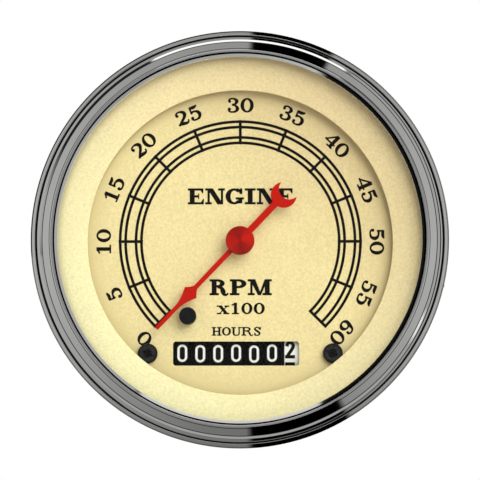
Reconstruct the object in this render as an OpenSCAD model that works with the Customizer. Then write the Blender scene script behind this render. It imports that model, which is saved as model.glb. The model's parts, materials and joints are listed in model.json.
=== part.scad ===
// Panel tachometer with an hour counter.
// A chrome bezel clamps the glass, the dial ring and a drawn steel case that
// holds an air-core pointer movement, a circuit board and a seven-wheel counter.
// The dial faces -Y. The origin lies on the gauge's axis, in the plane of the
// bezel's rear lip, which seats on the front of the panel.

/* [Bezel] */
// Overall diameter of the bezel
bezel_d = 117.5; // [106:0.5:129]
// Sheet thickness of the bezel
bezel_wall = 0.7; // [0.5:0.1:0.9]
// Height of the bezel's front edge above the panel
bezel_height = 10.2; // [9.8:0.1:12]
// Width of the bezel's face, from its rim to the clear opening
bezel_face_w = 7.55; // [7.4:0.05:8.5]
// Width of the steep inner slope round the clear opening
lip_w = 0.85; // [0.7:0.05:0.9]
// Width of the shallow slope between the inner slope and the front bead
slope_w = 0.7; // [0.5:0.05:0.8]
// Width of the fine bead at the front edge
peak_bead_w = 0.5; // [0.4:0.05:0.6]
// Width of the broad sloped band
band_w = 2.15; // [1.8:0.05:2.3]
// Slope of the band and of the steep part of each step
band_slope = 44; // [42:0.5:45]
// Width of the shallow part of the middle step
shoulder_w = 0.8; // [0.6:0.05:0.9]
// Slope of the shallow parts
shoulder_slope = 33; // [28:1:36]
// Width of the steep part of the middle step
step_w = 0.7; // [0.5:0.05:0.8]
// Width of the fine grooves
groove_w = 0.3; // [0.2:0.05:0.4]
// Depth of the groove between the two steps
groove_depth = 0.6; // [0.4:0.05:0.7]
// Width of the shallow rim outside the last step
edge_w = 0.45; // [0.3:0.05:0.6]
// Width of the rear lip that is crimped over the case flange
crimp_w = 2.9; // [2:0.1:3.2]

/* [Glass] */
// Thickness of the glass
glass_t = 2.5; // [2:0.1:3]
// How far the glass reaches behind the bezel's face
glass_hold = 4.2; // [3.4:0.1:4.4]
// Thickness of the gasket's front lip
gasket_front_t = 0.5; // [0.3:0.1:0.8]
// Thickness of the gasket's rear lip
gasket_rear_t = 0.6; // [0.4:0.1:0.9]
// Thickness of the gasket round the glass edge
gasket_edge_t = 0.8; // [0.5:0.1:0.9]

/* [Case] */
// How far the bezel reaches past the case, to seat on the panel round its hole
seat_w = 3.75; // [3.7:0.05:4.5]
// Wall of the drawn steel case
case_wall = 0.9; // [0.7:0.1:1.2]
// Room between the counter motor and the rear wall of the case
rear_room = 3.5; // [2.5:0.1:11]
// Outer radius of the drawn corner at the rear
case_corner_r = 4; // [2:0.5:6]
// Thickness of the case's front flange
case_flange_t = 1; // [0.8:0.1:1.2]
// Thickest panel that the bezel lip and the clamp legs hold between them
panel_t = 3; // [2.4:0.1:6]

/* [Dial] */
// Width of the dial ring that shows inside the bezel
ring_w = 8.4; // [7.5:0.1:9]
// Thickness of the dial ring's flange
ring_flange_t = 0.9; // [0.7:0.1:1.2]
// How far the ring's inner edge lies behind the panel plane
ring_edge_y = -0.2; // [-0.6:0.1:0.4]
// Thickness of the ring at its inner edge
ring_edge_t = 1; // [0.8:0.1:1.2]
// How far the ring's wall stands inside the edge of the dial plate
ring_foot_inset = 1.3; // [0.5:0.1:2]
// Wall of the dial ring
ring_wall = 1.2; // [0.9:0.1:1.6]
// How far the dial plate's face lies behind the panel plane
dial_y = 3; // [2.6:0.1:3.6]
// Thickness of the dial plate
dial_t = 0.8; // [0.6:0.1:1]
// Gap between the case and the edges of the dial plate and the chassis plate
dial_gap = 4.6; // [3.4:0.1:4.9]
// Thickness of the chassis plate
chassis_t = 1.2; // [1:0.1:1.6]

/* [Scale] */
// Distances of the four printed arcs inside the dial ring's opening
arc_insets = [14.96, 13.43, 10.51, 8.97];
// Line width of the arcs
arc_w = 0.78; // [0.4:0.02:0.9]
// Width of the division marks
tick_w = 0.8; // [0.4:0.02:0.9]
// Thickness of the printed ink
print_t = 0.05; // [0.03:0.01:0.1]
// Angle of the scale's zero, counterclockwise from the right
zero_angle = 225; // [215:1:235]
// Angle that the scale sweeps clockwise
sweep_angle = 270; // [240:5:280]
// Number of steps between the numbered divisions
divisions = 12; // [6:1:12]

/* [Pointer] */
// How far the tip reaches past the middle of the outer arc
tip_past = 0.35; // [-1:0.05:2]
// Thickness of the pointer blade
pointer_t = 0.4; // [0.3:0.1:0.6]
// How far ahead of the dial plate the blade runs
pointer_gap = 3.1; // [2.7:0.1:3.4]
// Angle of the pointer at rest, counterclockwise from the right
rest_angle = 226.4; // [225:0.1:227]
// Width of the blade at the hub
stem_w = 1.5; // [1.2:0.1:1.8]
// Width of the blade at the tip
tip_w = 1.1; // [0.8:0.1:1.4]
// Largest width of the spade on the blade
spade_w = 4.5; // [3.5:0.1:5.5]
// Distance from the tip to the widest place of the spade
spade_back = 14; // [13:0.1:15]
// Length of the spade towards the hub and towards the tip
spade_reach = [2.6, 5.7];
// Width of the tail
tail_w = 1.85; // [1.5:0.05:2.2]
// Radius of the round head on the tail
tail_head_r = 3.65; // [3:0.05:4.2]
// Distance of the head from the axis
tail_head_at = 17.8; // [16:0.1:19]
// Radius of the mouth cut in the head
tail_mouth_r = 2.96; // [2.2:0.02:3.2]
// Distance of the mouth from the axis
tail_mouth_at = 20.1; // [19.5:0.1:21]
// Radius of the turned hub
hub_r = 4.05; // [3.4:0.05:4.6]
// Height of the hub in front of the blade
hub_rise = 2.2; // [1.6:0.1:2.4]
// How far the zero stop stands behind the resting pointer's tip, and beside it
stop_from_tip = [8.7, 3.89];
// Radius of the zero stop
stop_r = 2.4; // [1.8:0.1:2.5]

/* [Movement] */
// Diameter of the spindle
spindle_d = 1; // [0.8:0.1:1.2]
// Diameter and length of the rotor magnet
magnet_size = [9.2, 6];
// Width of the square bobbin core
core_w = 14.4; // [13.6:0.2:15]
// Radial build of one winding
coil_t = 1.3; // [1:0.1:1.4]
// Inner and outer distance of a winding's halves from the spindle
coil_span = [1.8, 4.7];
// Outer diameter and wall of the shield tube
shield_size = [24.4, 0.6];
// Length of the bobbin's legs in front of the windings
bobbin_leg = 1; // [0.6:0.1:1.4]
// Thickness of the bobbin's round base
bobbin_base_t = 1.5; // [1.2:0.1:2]

/* [Hour counter] */
// How far the counter's shaft line lies inside the dial ring's opening
counter_inset = 11.2; // [10.5:0.1:12]
// Centre of the counter window from the gauge's axis, along the wheels
window_x = -1.18; // [-1.3:0.01:-1]
// Width and height of the counter window
window_size = [35.5, 6.83];
// Corner radius of the counter window
window_corner_r = 0.85; // [0.5:0.05:1.5]
// Number of wheels
wheels = 7;
// Radius of the number wheels
wheel_r = 9.6; // [9.4:0.05:9.7]
// Distance from wheel to wheel
wheel_pitch = 5.05; // [5:0.05:5.3]
// Place of the tenths wheel along the shaft
first_wheel_x = 13.95;
// Width of a number wheel's rim
rim_w = 3.1; // [2.9:0.05:3.2]
// Width of the tenths wheel's rim to the right of its digits
first_rim_w = 2.9; // [2.4:0.1:3]
// Width of a tooth ring
ring_gear_w = 0.9; // [0.8:0.05:0.9]
// Width of the carry ring on a wheel's other side
carry_ring_w = 0.8; // [0.6:0.05:0.8]
// Module of the carry teeth
carry_module = 0.8;
// Teeth of a wheel's ring
ring_teeth = 20;
// Teeth of a carry pinion
pinion_teeth = 8;
// Module of the motor gears
motor_module = 0.5;
// Teeth of the gear and of the pinion that the motor turns
motor_teeth = [24, 10];
// Radius of the fixed shaft of the wheels
counter_shaft_r = 1.5; // [1.2:0.05:1.8]
// Radius of the fixed shaft of the pinions
pinion_shaft_r = 1; // [0.8:0.05:1.1]
// Radius of the motor shaft
motor_shaft_r = 0.6; // [0.5:0.05:0.8]
// Width of the gear that the motor turns
motor_gear_w = 1.4; // [1.2:0.1:1.6]
// Sheet thickness of the counter frame
frame_t = 1.2; // [1:0.1:1.4]
// Height of the counter frame
frame_h = 22; // [20:0.5:23]
// Height of the opening for the wheels in the chassis plate
wheel_opening_h = 11; // [10:0.5:12]
// Radius and length of the counter motor
motor_size = [8, 7];

/* [Fasteners] */
// How far the dial screws lie inside the dial ring's opening
dial_screw_inset = 1.85; // [1.4:0.05:2.4]
// Shank radius of the dial screws
dial_screw_r = 1.4; // [1.2:0.1:1.5]
// Head radius of the dial and case screws
screw_head_r = 2.8; // [2.4:0.1:3]
// Head height of the dial and case screws
screw_head_h = 1.8; // [1.4:0.1:2]
// How far the upper pillars lie inside the case's outer wall
pillar_inset = 9.7; // [9:0.1:10.5]
// Angle of the upper pillars above the middle
pillar_angle = 46.8; // [44:0.1:48]
// Distance across the flats of the hexagonal pillars
pillar_flats = 5.5; // [5:0.1:6]
// Shank radius of the screws in the pillars
pillar_screw_r = 1.25; // [1:0.05:1.5]
// Length of the screws' shanks in the pillars
pillar_screw_len = 6; // [5:0.5:7]
// How far the clamp studs lie inside the case's outer wall
stud_inset = 25; // [23:0.5:27]
// Radius of the clamp studs
stud_r = 2.4; // [2:0.1:2.5]
// Length of the clamp studs behind the case
stud_len = 16; // [14:0.5:20]
// Distance across the flats of the clamp nuts
stud_nut_flats = 9.5; // [9:0.1:10.5]
// Thickness of the clamp nuts
stud_nut_t = 3.5; // [3:0.1:4.5]

/* [Clamp bracket] */
// Height of the bracket's strap
strap_w = 20; // [16:0.5:22]
// Thickness of the strap
strap_t = 1.5; // [1.2:0.1:2]
// Gap between the case and the strap
strap_gap = 4; // [3:0.1:6]
// Inner radius of the strap's bends
strap_bend_r = 3; // [2:0.5:5]

/* [Electrics] */
// How far the circuit board's front lies behind the panel plane
board_y = 26; // [26:0.1:27]
// Thickness of the circuit board
board_t = 1.6; // [1.2:0.1:2]
// Margins of the circuit board outside the pillars: at the sides, above and below
board_margin = [5, 6, 4.5];
// Height of the circuit board's lower edge
board_low_z = -14; // [-14.5:0.1:-13]
// Size of the controller chip
chip_size = [14, 2.6, 9];
// Width, rise and reach of a chip leg
chip_leg = [0.6, 0.4, 1.2];
// Radius and height of a capacitor
capacitor_size = [4.5, 11];
// Radius and length of a resistor
resistor_size = [1.3, 6];
// Radius of a resistor's wire, and its height above the board
resistor_wire = [0.3, 1.7];
// Number of terminals
terminals = 4; // [3:1:4]
// Height of the terminal row
terminal_z = 26; // [24:0.5:27]
// Radius of the terminal studs
terminal_r = 2; // [1.5:0.1:2.2]
// Length of the terminal studs behind the case
terminal_len = 14; // [13:0.5:18]
// Distance across the flats of the terminal nuts
terminal_nut_flats = 7; // [6.4:0.1:7.4]
// Thickness of the terminal nuts
terminal_nut_t = 3.2; // [2.4:0.1:3.6]
// How far the terminal block ends short of the pillars' centres
block_gap = 4; // [3.6:0.1:5]
// Height of the terminal block
block_h = 13; // [12:0.5:13]
// Thickness of the barriers between the terminals
barrier_t = 1.2; // [1:0.1:1.6]
// Thickness of the terminal block outside the case
block_t = 3; // [2.4:0.1:4]
// How far the lamps lie inside the case's outer wall
lamp_inset = 11.1; // [10.8:0.1:12]
// Height of the lamps
lamp_z = -18; // [-22:0.5:-17.5]
// Radius of the lamp holders in the case
lamp_r = 6; // [5.4:0.1:6.5]
// Radius and length of the glass bulbs
bulb_size = [4.9, 20];
// Thickness of a lamp holder's flange, and length of its grip
lamp_holder_t = [1.5, 5.5];

/* [Clearances] */
// Radial clearance of a shaft in its hole
shaft_play = 0.05; // [0.03:0.01:0.08]
// Play between parts that turn side by side
side_play = 0.1; // [0.08:0.01:0.12]
// Gap round parts that are only dropped in
loose_fit = 0.15; // [0.1:0.05:0.3]
// Play between the flanks of meshing teeth
backlash = 0.12; // [0.08:0.01:0.16]

/* [Hidden] */
$fn = 90;

cream = [0.94, 0.87, 0.66];
signal_red = [0.76, 0.13, 0.08];
screw_black = [0.15, 0.14, 0.14];

// Places along Y of the clamped stack, from the panel plane to the front.
bezel_r = bezel_d / 2;
sight_r = bezel_r - bezel_face_w;
flange_r = bezel_r - bezel_wall - loose_fit;
case_r = bezel_r - seat_w;
glass_r = sight_r + glass_hold;
case_flange_y = -bezel_wall - case_flange_t;
ring_flange_y = case_flange_y - ring_flange_t;
glass_rear_y = ring_flange_y - gasket_rear_t;
glass_y = glass_rear_y - glass_t;
gasket_y = glass_y - gasket_front_t;
gasket_r = glass_r + gasket_edge_t;

// Radii of the dial, and places across it.
ring_inner_r = sight_r - ring_w;
dial_r = case_r - case_wall - dial_gap;
ring_foot_r = dial_r - ring_foot_inset;
arc_radii = [for (inset = arc_insets) ring_inner_r - inset];
pointer_len = arc_radii[3] + tip_past;
spade_r = pointer_len - spade_back;
stop_r_along = pointer_len - stop_from_tip[0];
stop_at = polar(stop_r_along, rest_angle) + polar(stop_from_tip[1], rest_angle + 90);
counter_z = counter_inset - ring_inner_r;
window_at = [window_x, counter_z];
dial_screw_x = sqrt(pow(ring_inner_r - dial_screw_inset, 2) - pow(counter_z, 2));

// Places along Y behind the dial.
dial_rear_y = dial_y + dial_t;
chassis_rear_y = dial_rear_y + chassis_t;
board_rear_y = board_y + board_t;
blade_y = dial_y - pointer_gap - pointer_t;
hub_y = blade_y - hub_rise;

// Bezel section, worked outwards from the clear opening.
lip_r = sight_r + lip_w;
slope_r = lip_r + slope_w;
peak_c = slope_r + peak_bead_w / 2;
band_inner_r = peak_c + peak_bead_w / 2 + groove_w / 2;
band_outer_r = band_inner_r + band_w;
shoulder_r = band_outer_r + shoulder_w;
step_r = shoulder_r + step_w;
groove_r = step_r + groove_w;
foot_r = groove_r + groove_w;
rim_r = bezel_r - edge_w;
band_inner_y = peak_bead_w / 2 - bezel_height + groove_w / 2;
band_outer_y = band_inner_y + band_w * tan(band_slope);
shoulder_y = band_outer_y + shoulder_w * tan(shoulder_slope);
step_y = shoulder_y + step_w * tan(band_slope);
groove_y = step_y + groove_depth;
foot_y = groove_y - groove_w;
rim_y = foot_y + (rim_r - foot_r) * tan(band_slope);
edge_y = rim_y + edge_w * tan(shoulder_slope);

// Counter places. The wheels turn about X, and the pinions lie behind them.
counter_y = dial_rear_y + 0.5 + wheel_r;
carry_centres = carry_module * (ring_teeth + pinion_teeth) / 2;
motor_centres = motor_module * (motor_teeth[0] + motor_teeth[1]) / 2;
motor_angle = 0;
pinion_y = counter_y + carry_centres;
motor_y = pinion_y + motor_centres * cos(motor_angle);
motor_z = counter_z + motor_centres * sin(motor_angle);
tooth_pressure = 20;
tooth_shift = 0.4;
tooth_add = 0.85;
tooth_ded = 1.15;
pinion_tip_r = gear_tip_r(pinion_teeth, carry_module, tooth_shift);
ring_root_r = gear_root_r(ring_teeth, carry_module, -tooth_shift);
drive_tip_r = gear_tip_r(motor_teeth[0], motor_module, -tooth_shift);
motor_tip_r = gear_tip_r(motor_teeth[1], motor_module, tooth_shift);
drive_x = first_wheel_x + first_rim_w + side_play;
drive_wheel_x = drive_x + ring_gear_w + 0.4;
hub_play = 2.5 * side_play;
frame_half_w = drive_wheel_x + motor_gear_w + hub_play;
frame_bend = 1;
frame_rear_y = max(pinion_y + drive_tip_r, motor_y + motor_tip_r) + frame_bend + 0.4;
shaft_end_x = frame_half_w + frame_t;

// Depth of the case behind the panel's front face.
case_inner_y = motor_y + motor_size[0] + rear_room;
case_depth = case_inner_y + case_wall;

// Movement places.
core_y = chassis_rear_y + bobbin_leg + 2 * coil_t;
base_y = board_y - bobbin_base_t;
core_rear_y = base_y - 2 * coil_t;
core_split_y = (core_y + core_rear_y) / 2;
chamber_r = magnet_size[0] / 2 + 0.6;
chamber_half = magnet_size[1] / 2 + 0.8;
chip_z = 16;
bush_r = coil_span[0] - 0.2;
pin_at = core_w / 2 + 0.4;

// Pillar, board, terminal, lamp and clamp places.
upper_pillar = polar(case_r - pillar_inset, pillar_angle);
pillar_at = [upper_pillar, [upper_pillar[0], board_low_z + board_margin[2]]];
board_w = 2 * (upper_pillar[0] + board_margin[0]);
board_z = [board_low_z, upper_pillar[1] + board_margin[1]];
block_size = [2 * (upper_pillar[0] - block_gap), block_h];
terminal_step = (block_size[0] - 6) / terminals;
terminal_x = [for (i = [0:terminals - 1]) (i - (terminals - 1) / 2) * terminal_step];
lamp_at = [sqrt(pow(case_r - lamp_inset, 2) - pow(lamp_z, 2)), lamp_z];
stud_x = case_r - stud_inset;
strap_y = case_depth + strap_gap;
leg_x = bezel_r - 1.3 - strap_t;
washer_t = 0.8;

// Points of an arc about a centre, from one angle to another.
function arc(c, r, a0, a1, n) =
    [for (i = [0:n]) let (a = a0 + (a1 - a0) * i / n) [c[0] + r * cos(a), c[1] + r * sin(a)]];

// The points of an outline's left half, in the order that closes its right half.
function mirrored(p) = [for (i = [len(p) - 1:-1:0]) [-p[i][0], p[i][1]]];

// The closed outline of a bent strip from its outer and inner right halves.
function strip(outer, inner) =
    let (left = [for (p = inner) [-p[0], p[1]]])
    concat(outer, mirrored(outer), left, mirrored(left));

// Front half of a bead: a half circle that bulges towards the viewer.
function bead(centre_r, width, front_y, n = 6) =
    arc([centre_r, front_y + width / 2], width / 2, -180, 0, n);

// Involute gear teeth with shifted profiles, so that a pinion of few teeth
// keeps strong roots and runs with the ring at the standard centre distance.
function gear_tip_r(teeth, m, shift) = m * (teeth / 2 + tooth_add + shift);
function gear_root_r(teeth, m, shift) = m * (teeth / 2 - tooth_ded + shift);
function involute(a) = tan(a) * 180 / PI - a;
function half_tooth(r, teeth, m, shift) =
    let (base_r = m * teeth / 2 * cos(tooth_pressure))
    let (a = acos(min(1, base_r / max(r, base_r))))
    let (thick = PI / 2 + 2 * shift * tan(tooth_pressure) - backlash / m)
    thick / teeth * 180 / PI + involute(tooth_pressure) - involute(a);
function tooth_radii(teeth, m, shift) =
    let (root = gear_root_r(teeth, m, shift), tip = gear_tip_r(teeth, m, shift))
    let (base_r = m * teeth / 2 * cos(tooth_pressure), start = max(root, base_r))
    concat(base_r > root ? [root, base_r] : [root], [for (i = [1:4]) start + (tip - start) * i / 4]);
function tooth_points(teeth, m, shift, at) =
    let (radii = tooth_radii(teeth, m, shift), last = len(radii) - 1)
    concat(
        [for (i = [0:last]) polar(radii[i], at - half_tooth(radii[i], teeth, m, shift))],
        [for (i = [last:-1:0]) polar(radii[i], at + half_tooth(radii[i], teeth, m, shift))]);
function polar(r, a) = [r * cos(a), r * sin(a)];

// A gear outline with every tooth, or with only each second or later one.
module gear_outline(teeth, m, shift, every = 1) {
    polygon([for (i = [0:every:teeth - 1])
        each tooth_points(teeth, m, shift, i * 360 / teeth)]);
    circle(gear_root_r(teeth, m, shift) + 0.01);
}

// Revolves a section of radius and Y about the gauge's axis.
module turned(section) {
    rotate([-90, 0, 0])
        rotate_extrude()
            polygon(section);
}

// Extrudes an outline, drawn as seen from the front, between two Y places.
module slab(y0, y1) {
    translate([0, y1, 0])
        rotate([90, 0, 0])
            linear_extrude(y1 - y0)
                children();
}

// A round rod along Y.
module rod(at, r, y0, y1) {
    translate([at[0], y0, at[1]])
        rotate([-90, 0, 0])
            cylinder(r = r, h = y1 - y0);
}

// Extrudes an outline along X. Its first axis becomes Y and its second Z.
module along_x(x0, x1, at) {
    translate([x0, at[0], at[1]])
        rotate([90, 0, 90])
            linear_extrude(x1 - x0)
                children();
}

// Places a copy on each side of the axis.
module both_sides() {
    children();
    mirror([1, 0, 0])
        children();
}

// A rectangle with round corners, about its centre.
module round_rect(size, r) {
    translate(-size / 2)
        translate([r, r])
            square(size - [2 * r, 2 * r]);
    for (x = [-1, 1])
        for (y = [-1, 1])
            translate([x * (size[0] / 2 - r), y * (size[1] / 2 - r)])
                circle(r, $fn = 32);
    square([size[0], size[1] - 2 * r], center = true);
    square([size[0] - 2 * r, size[1]], center = true);
}

// A hexagon by its distance across flats.
module hexagon(flats) {
    circle(flats / sqrt(3), $fn = 6);
}

// A pan head screw along Y. Its head stands in front of y0 when out is -1 and
// behind it when out is 1, and the shank goes the other way.
module pan_screw(at, y0, out, shank_r, shank_len) {
    y_top = y0 + out * screw_head_h;
    difference() {
        translate([at[0], y0, at[1]])
            rotate([-90 * out, 0, 0])
                rotate_extrude($fn = 48)
                    polygon(concat(
                        [[0, -shank_len], [shank_r - 0.3, -shank_len], [shank_r, 0.3 - shank_len]],
                        [[shank_r, 0], [screw_head_r, 0]],
                        arc([screw_head_r - 0.8, screw_head_h - 0.8], 0.8, 0, 60, 4),
                        [[0, screw_head_h]]));
        translate([at[0], y_top, at[1]])
            for (a = [0, 90])
                rotate([0, a + 20, 0])
                    cube([screw_head_r * 1.1, 1.8, 0.6], center = true);
    }
}

module bezel() {
    hair = 0.1;
    slope_y = peak_bead_w / 2 - bezel_height;
    inner_y = slope_y + slope_w * tan(band_slope / 2);
    sight_y = inner_y + lip_w * tan(shoulder_slope);
    outside = concat(
        [[sight_r, gasket_y], [sight_r, sight_y + hair], [sight_r + hair, sight_y]],
        [[lip_r, inner_y], [slope_r, slope_y]],
        bead(peak_c, peak_bead_w, -bezel_height),
        [[band_inner_r, band_inner_y], [band_outer_r, band_outer_y], [shoulder_r, shoulder_y]],
        [[step_r, step_y], [groove_r, groove_y], [foot_r, foot_y], [rim_r, rim_y]],
        [[bezel_r, edge_y], [bezel_r, -bezel_wall]],
        arc([bezel_r - bezel_wall, -bezel_wall], bezel_wall, 0, 90, 4),
        [[bezel_r - bezel_wall - crimp_w, 0]]);
    inside = [
        [bezel_r - bezel_wall - crimp_w, -bezel_wall],
        [bezel_r - bezel_wall, -bezel_wall],
        [bezel_r - bezel_wall, edge_y + bezel_wall],
        [gasket_r + hair, gasket_y + 2 * hair],
        [gasket_r + hair, gasket_y],
        [band_outer_r - bezel_wall, band_outer_y + bezel_wall - 2 * hair],
        [band_inner_r - 3 * hair, band_inner_y + bezel_wall],
        [slope_r, slope_y + bezel_wall],
        [sight_r + bezel_wall, inner_y + bezel_wall + 4 * hair],
        [sight_r + bezel_wall, gasket_y - bezel_wall - 3 * hair],
        [lip_r + bezel_wall, gasket_y - bezel_wall],
        [lip_r + bezel_wall, gasket_y]];
    color("silver")
        turned(concat(outside, inside));
}

module lens() {
    color([0.8, 0.9, 0.95, 0.3])
        turned([[0, glass_y], [glass_r - 0.4, glass_y], [glass_r, glass_y + 0.4],
            [glass_r, glass_rear_y - 0.4], [glass_r - 0.4, glass_rear_y], [0, glass_rear_y]]);
}

module lens_gasket() {
    lip_r = sight_r + 0.4;
    color([0.1, 0.1, 0.1])
        turned([[lip_r, gasket_y], [gasket_r, gasket_y], [gasket_r, ring_flange_y],
            [lip_r + 1.2, ring_flange_y], [lip_r + 1.2, glass_rear_y],
            [glass_r - 0.4, glass_rear_y], [glass_r, glass_rear_y - 0.4],
            [glass_r, glass_y + 0.4], [glass_r - 0.4, glass_y], [lip_r, glass_y]]);
}

// The ring slopes from the glass down to the dial and stands on a round wall.
module dial_ring() {
    top_r = sight_r + 0.6;
    wall_y = ring_edge_y + ring_edge_t;
    color(cream)
        turned([[ring_inner_r, ring_edge_y + 0.2], [ring_inner_r + 0.2, ring_edge_y],
            [top_r, ring_flange_y], [flange_r, ring_flange_y], [flange_r, case_flange_y],
            [case_r - case_wall, case_flange_y], [case_r - case_wall - 1.2, case_flange_y + 0.6],
            [ring_foot_r, wall_y - 0.7], [ring_foot_r, dial_y],
            [ring_foot_r - ring_wall, dial_y], [ring_foot_r - ring_wall, wall_y - 0.4],
            [ring_inner_r, wall_y]]);
}

module dial_plate() {
    color(cream)
        difference() {
            slab(dial_y, dial_rear_y)
                circle(dial_r);
            slab(dial_y - 1, dial_rear_y + 1)
                translate(window_at)
                    round_rect(window_size, window_corner_r);
            rod([0, 0], 1.8, dial_y - 1, dial_rear_y + 1);
            rod(stop_at, stop_r / 2, dial_y - 1, dial_rear_y + 1);
            both_sides()
                rod([dial_screw_x, counter_z], dial_screw_r + 0.2, dial_y - 1, dial_rear_y + 1);
        }
}

// The four arcs, and the marks that cross them and stand out by a hair.
module scale_print() {
    span = [for (i = [0:36]) zero_angle - sweep_angle * i / 36];
    inner = arc_radii[0] - arc_w / 2 - print_t;
    outer = arc_radii[3] + arc_w / 2 + print_t;
    color([0.1, 0.09, 0.08])
        slab(dial_y - print_t, dial_y) {
            for (r = arc_radii)
                intersection() {
                    difference() {
                        circle(r + arc_w / 2);
                        circle(r - arc_w / 2);
                    }
                    polygon(concat([[0, 0]], [for (a = span) polar(outer + 2, a)]));
                }
            for (i = [0:divisions])
                rotate(zero_angle - sweep_angle * i / divisions)
                    translate([inner, -tick_w / 2])
                        square([outer - inner, tick_w]);
        }
}

module dial_screws() {
    color(screw_black)
        for (side = [-1, 1])
            pan_screw([side * dial_screw_x, counter_z], dial_y, -1, dial_screw_r,
                chassis_rear_y + frame_t + 1.5 - dial_y);
}

module zero_stop() {
    color(screw_black)
        translate([stop_at[0], 0, stop_at[1]])
            turned([[0, blade_y - 0.5], [stop_r - 0.3, blade_y - 0.5], [stop_r, blade_y - 0.2],
                [stop_r, dial_y], [stop_r / 2, dial_y], [stop_r / 2, chassis_rear_y],
                [0, chassis_rear_y]]);
}

// Half width of the spade, a distance from its widest place: its flanks are
// hollow and run out along the blade.
function spade_half(d) =
    let (reach = d < 0 ? spade_reach[0] : spade_reach[1])
    tip_w / 2 + (spade_w - tip_w) / 2 * pow(max(0, 1 - abs(d) / reach), 1.7);

module pointer_outline() {
    d = [for (i = [-6:10]) i < 0 ? spade_reach[0] * i / 6 : spade_reach[1] * i / 10];
    polygon([[0, -stem_w / 2], [pointer_len, -tip_w / 2], [pointer_len, tip_w / 2], [0, stem_w / 2]]);
    polygon(concat(
        [for (x = d) [spade_r + x, -spade_half(x)]],
        [for (i = [len(d) - 1:-1:0]) [spade_r + d[i], spade_half(d[i])]]));
    translate([-tail_head_at, -tail_w / 2])
        square([tail_head_at, tail_w]);
    difference() {
        translate([-tail_head_at, 0])
            circle(tail_head_r, $fn = 48);
        translate([-tail_mouth_at, 0])
            circle(tail_mouth_r, $fn = 48);
        translate([-tail_head_at - 2 * tail_head_r, -tail_head_r])
            square([1.24 * tail_head_r, 2 * tail_head_r]);
    }
}

module pointer() {
    color(signal_red)
        slab(blade_y, blade_y + pointer_t)
            difference() {
                rotate(rest_angle)
                    union() {
                        difference() {
                            pointer_outline();
                            translate([-tail_mouth_at, 0])
                                circle(tail_mouth_r, $fn = 48);
                        }
                        circle(hub_r - 0.6);
                    }
                circle(hub_r / 2);
            }
}

// The hub is turned with a shallow cone in front, and the blade is riveted
// over its neck.
module pointer_hub() {
    neck_r = hub_r / 2;
    spindle_end = hub_y + 1;
    color(signal_red)
        turned(concat(
            [[0, hub_y], [0.6, hub_y]],
            [[hub_r - 1, hub_y + 0.7]],
            arc([hub_r - 0.6, hub_y + 1.25], 0.6, -60, 0, 3),
            [[hub_r, blade_y], [neck_r, blade_y], [neck_r, blade_y + pointer_t]],
            [[neck_r + 0.5, blade_y + pointer_t], [neck_r + 0.5, blade_y + pointer_t + 0.3]],
            [[spindle_d / 2 + 0.6, blade_y + pointer_t + 0.8]],
            [[spindle_d / 2, blade_y + pointer_t + 0.8], [spindle_d / 2, spindle_end]],
            [[0, spindle_end]]));
}

module spindle() {
    color("silver")
        rod([0, 0], spindle_d / 2, hub_y + 1, core_rear_y + coil_t / 2);
}

module rotor_magnet() {
    color([0.25, 0.25, 0.27])
        turned([[spindle_d / 2, core_split_y - magnet_size[1] / 2],
            [magnet_size[0] / 2 - 0.3, core_split_y - magnet_size[1] / 2],
            [magnet_size[0] / 2, core_split_y - magnet_size[1] / 2 + 0.3],
            [magnet_size[0] / 2, core_split_y + magnet_size[1] / 2 - 0.3],
            [magnet_size[0] / 2 - 0.3, core_split_y + magnet_size[1] / 2],
            [spindle_d / 2, core_split_y + magnet_size[1] / 2]]);
}

// A brass tube between the two halves of the windings.
module bush(y0, y1) {
    color("goldenrod")
        turned([[spindle_d / 2 + shaft_play, y0], [bush_r, y0], [bush_r, y1],
            [spindle_d / 2 + shaft_play, y1]]);
}

module front_bush() {
    bush(chassis_rear_y, core_split_y - chamber_half);
}

module rear_bush() {
    bush(core_split_y + chamber_half, core_rear_y + 2 * coil_t - 0.2);
}

// Half a bobbin: a square core with the rotor's chamber in it, and four legs
// that reach past the windings at its corners.
module bobbin_half(y0, y1, leg_end) {
    leg = (core_w / 2 - coil_span[1]) - 0.1;
    difference() {
        slab(y0, y1)
            square(core_w, center = true);
        rod([0, 0], chamber_r, core_split_y - chamber_half, core_split_y + chamber_half);
        rod([0, 0], bush_r, y0 - 1, y1 + 1);
    }
    for (x = [-1, 1])
        for (z = [-1, 1])
            slab(min(y1, leg_end), max(y0, leg_end))
                translate([x * (core_w - leg) / 2, z * (core_w - leg) / 2])
                    square(leg, center = true);
}

module bobbin_front() {
    color([0.15, 0.15, 0.17])
        bobbin_half(core_y, core_split_y, chassis_rear_y);
}

module bobbin_rear() {
    color([0.15, 0.15, 0.17]) {
        bobbin_half(core_split_y, core_rear_y, base_y);
        difference() {
            slab(base_y, board_y)
                circle(shield_size[0] / 2);
            for (x = [-1, 1])
                for (z = [-1, 1])
                    rod([x, z] * pin_at, 0.4, base_y - 1, board_y + 1);
        }
    }
}

// One winding in two halves, one on each side of the spindle. It is wound
// round the core along Y, over what has been wound before.
module winding(under) {
    for (side = [-1, 1])
        translate([side * (coil_span[0] + coil_span[1]) / 2, 0, 0])
            rotate([90, 0, 90])
                linear_extrude(coil_span[1] - coil_span[0], center = true)
                    difference() {
                        translate([core_y - under - coil_t, -core_w / 2 - under - coil_t])
                            square([core_rear_y - core_y + 2 * (under + coil_t),
                                core_w + 2 * (under + coil_t)]);
                        translate([core_y - under, -core_w / 2 - under])
                            square([core_rear_y - core_y + 2 * under, core_w + 2 * under]);
                    }
}

module sine_coil() {
    color([0.72, 0.38, 0.16])
        winding(0);
}

module cosine_coil() {
    color([0.78, 0.45, 0.2])
        rotate([0, 90, 0])
            winding(coil_t);
}

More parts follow.
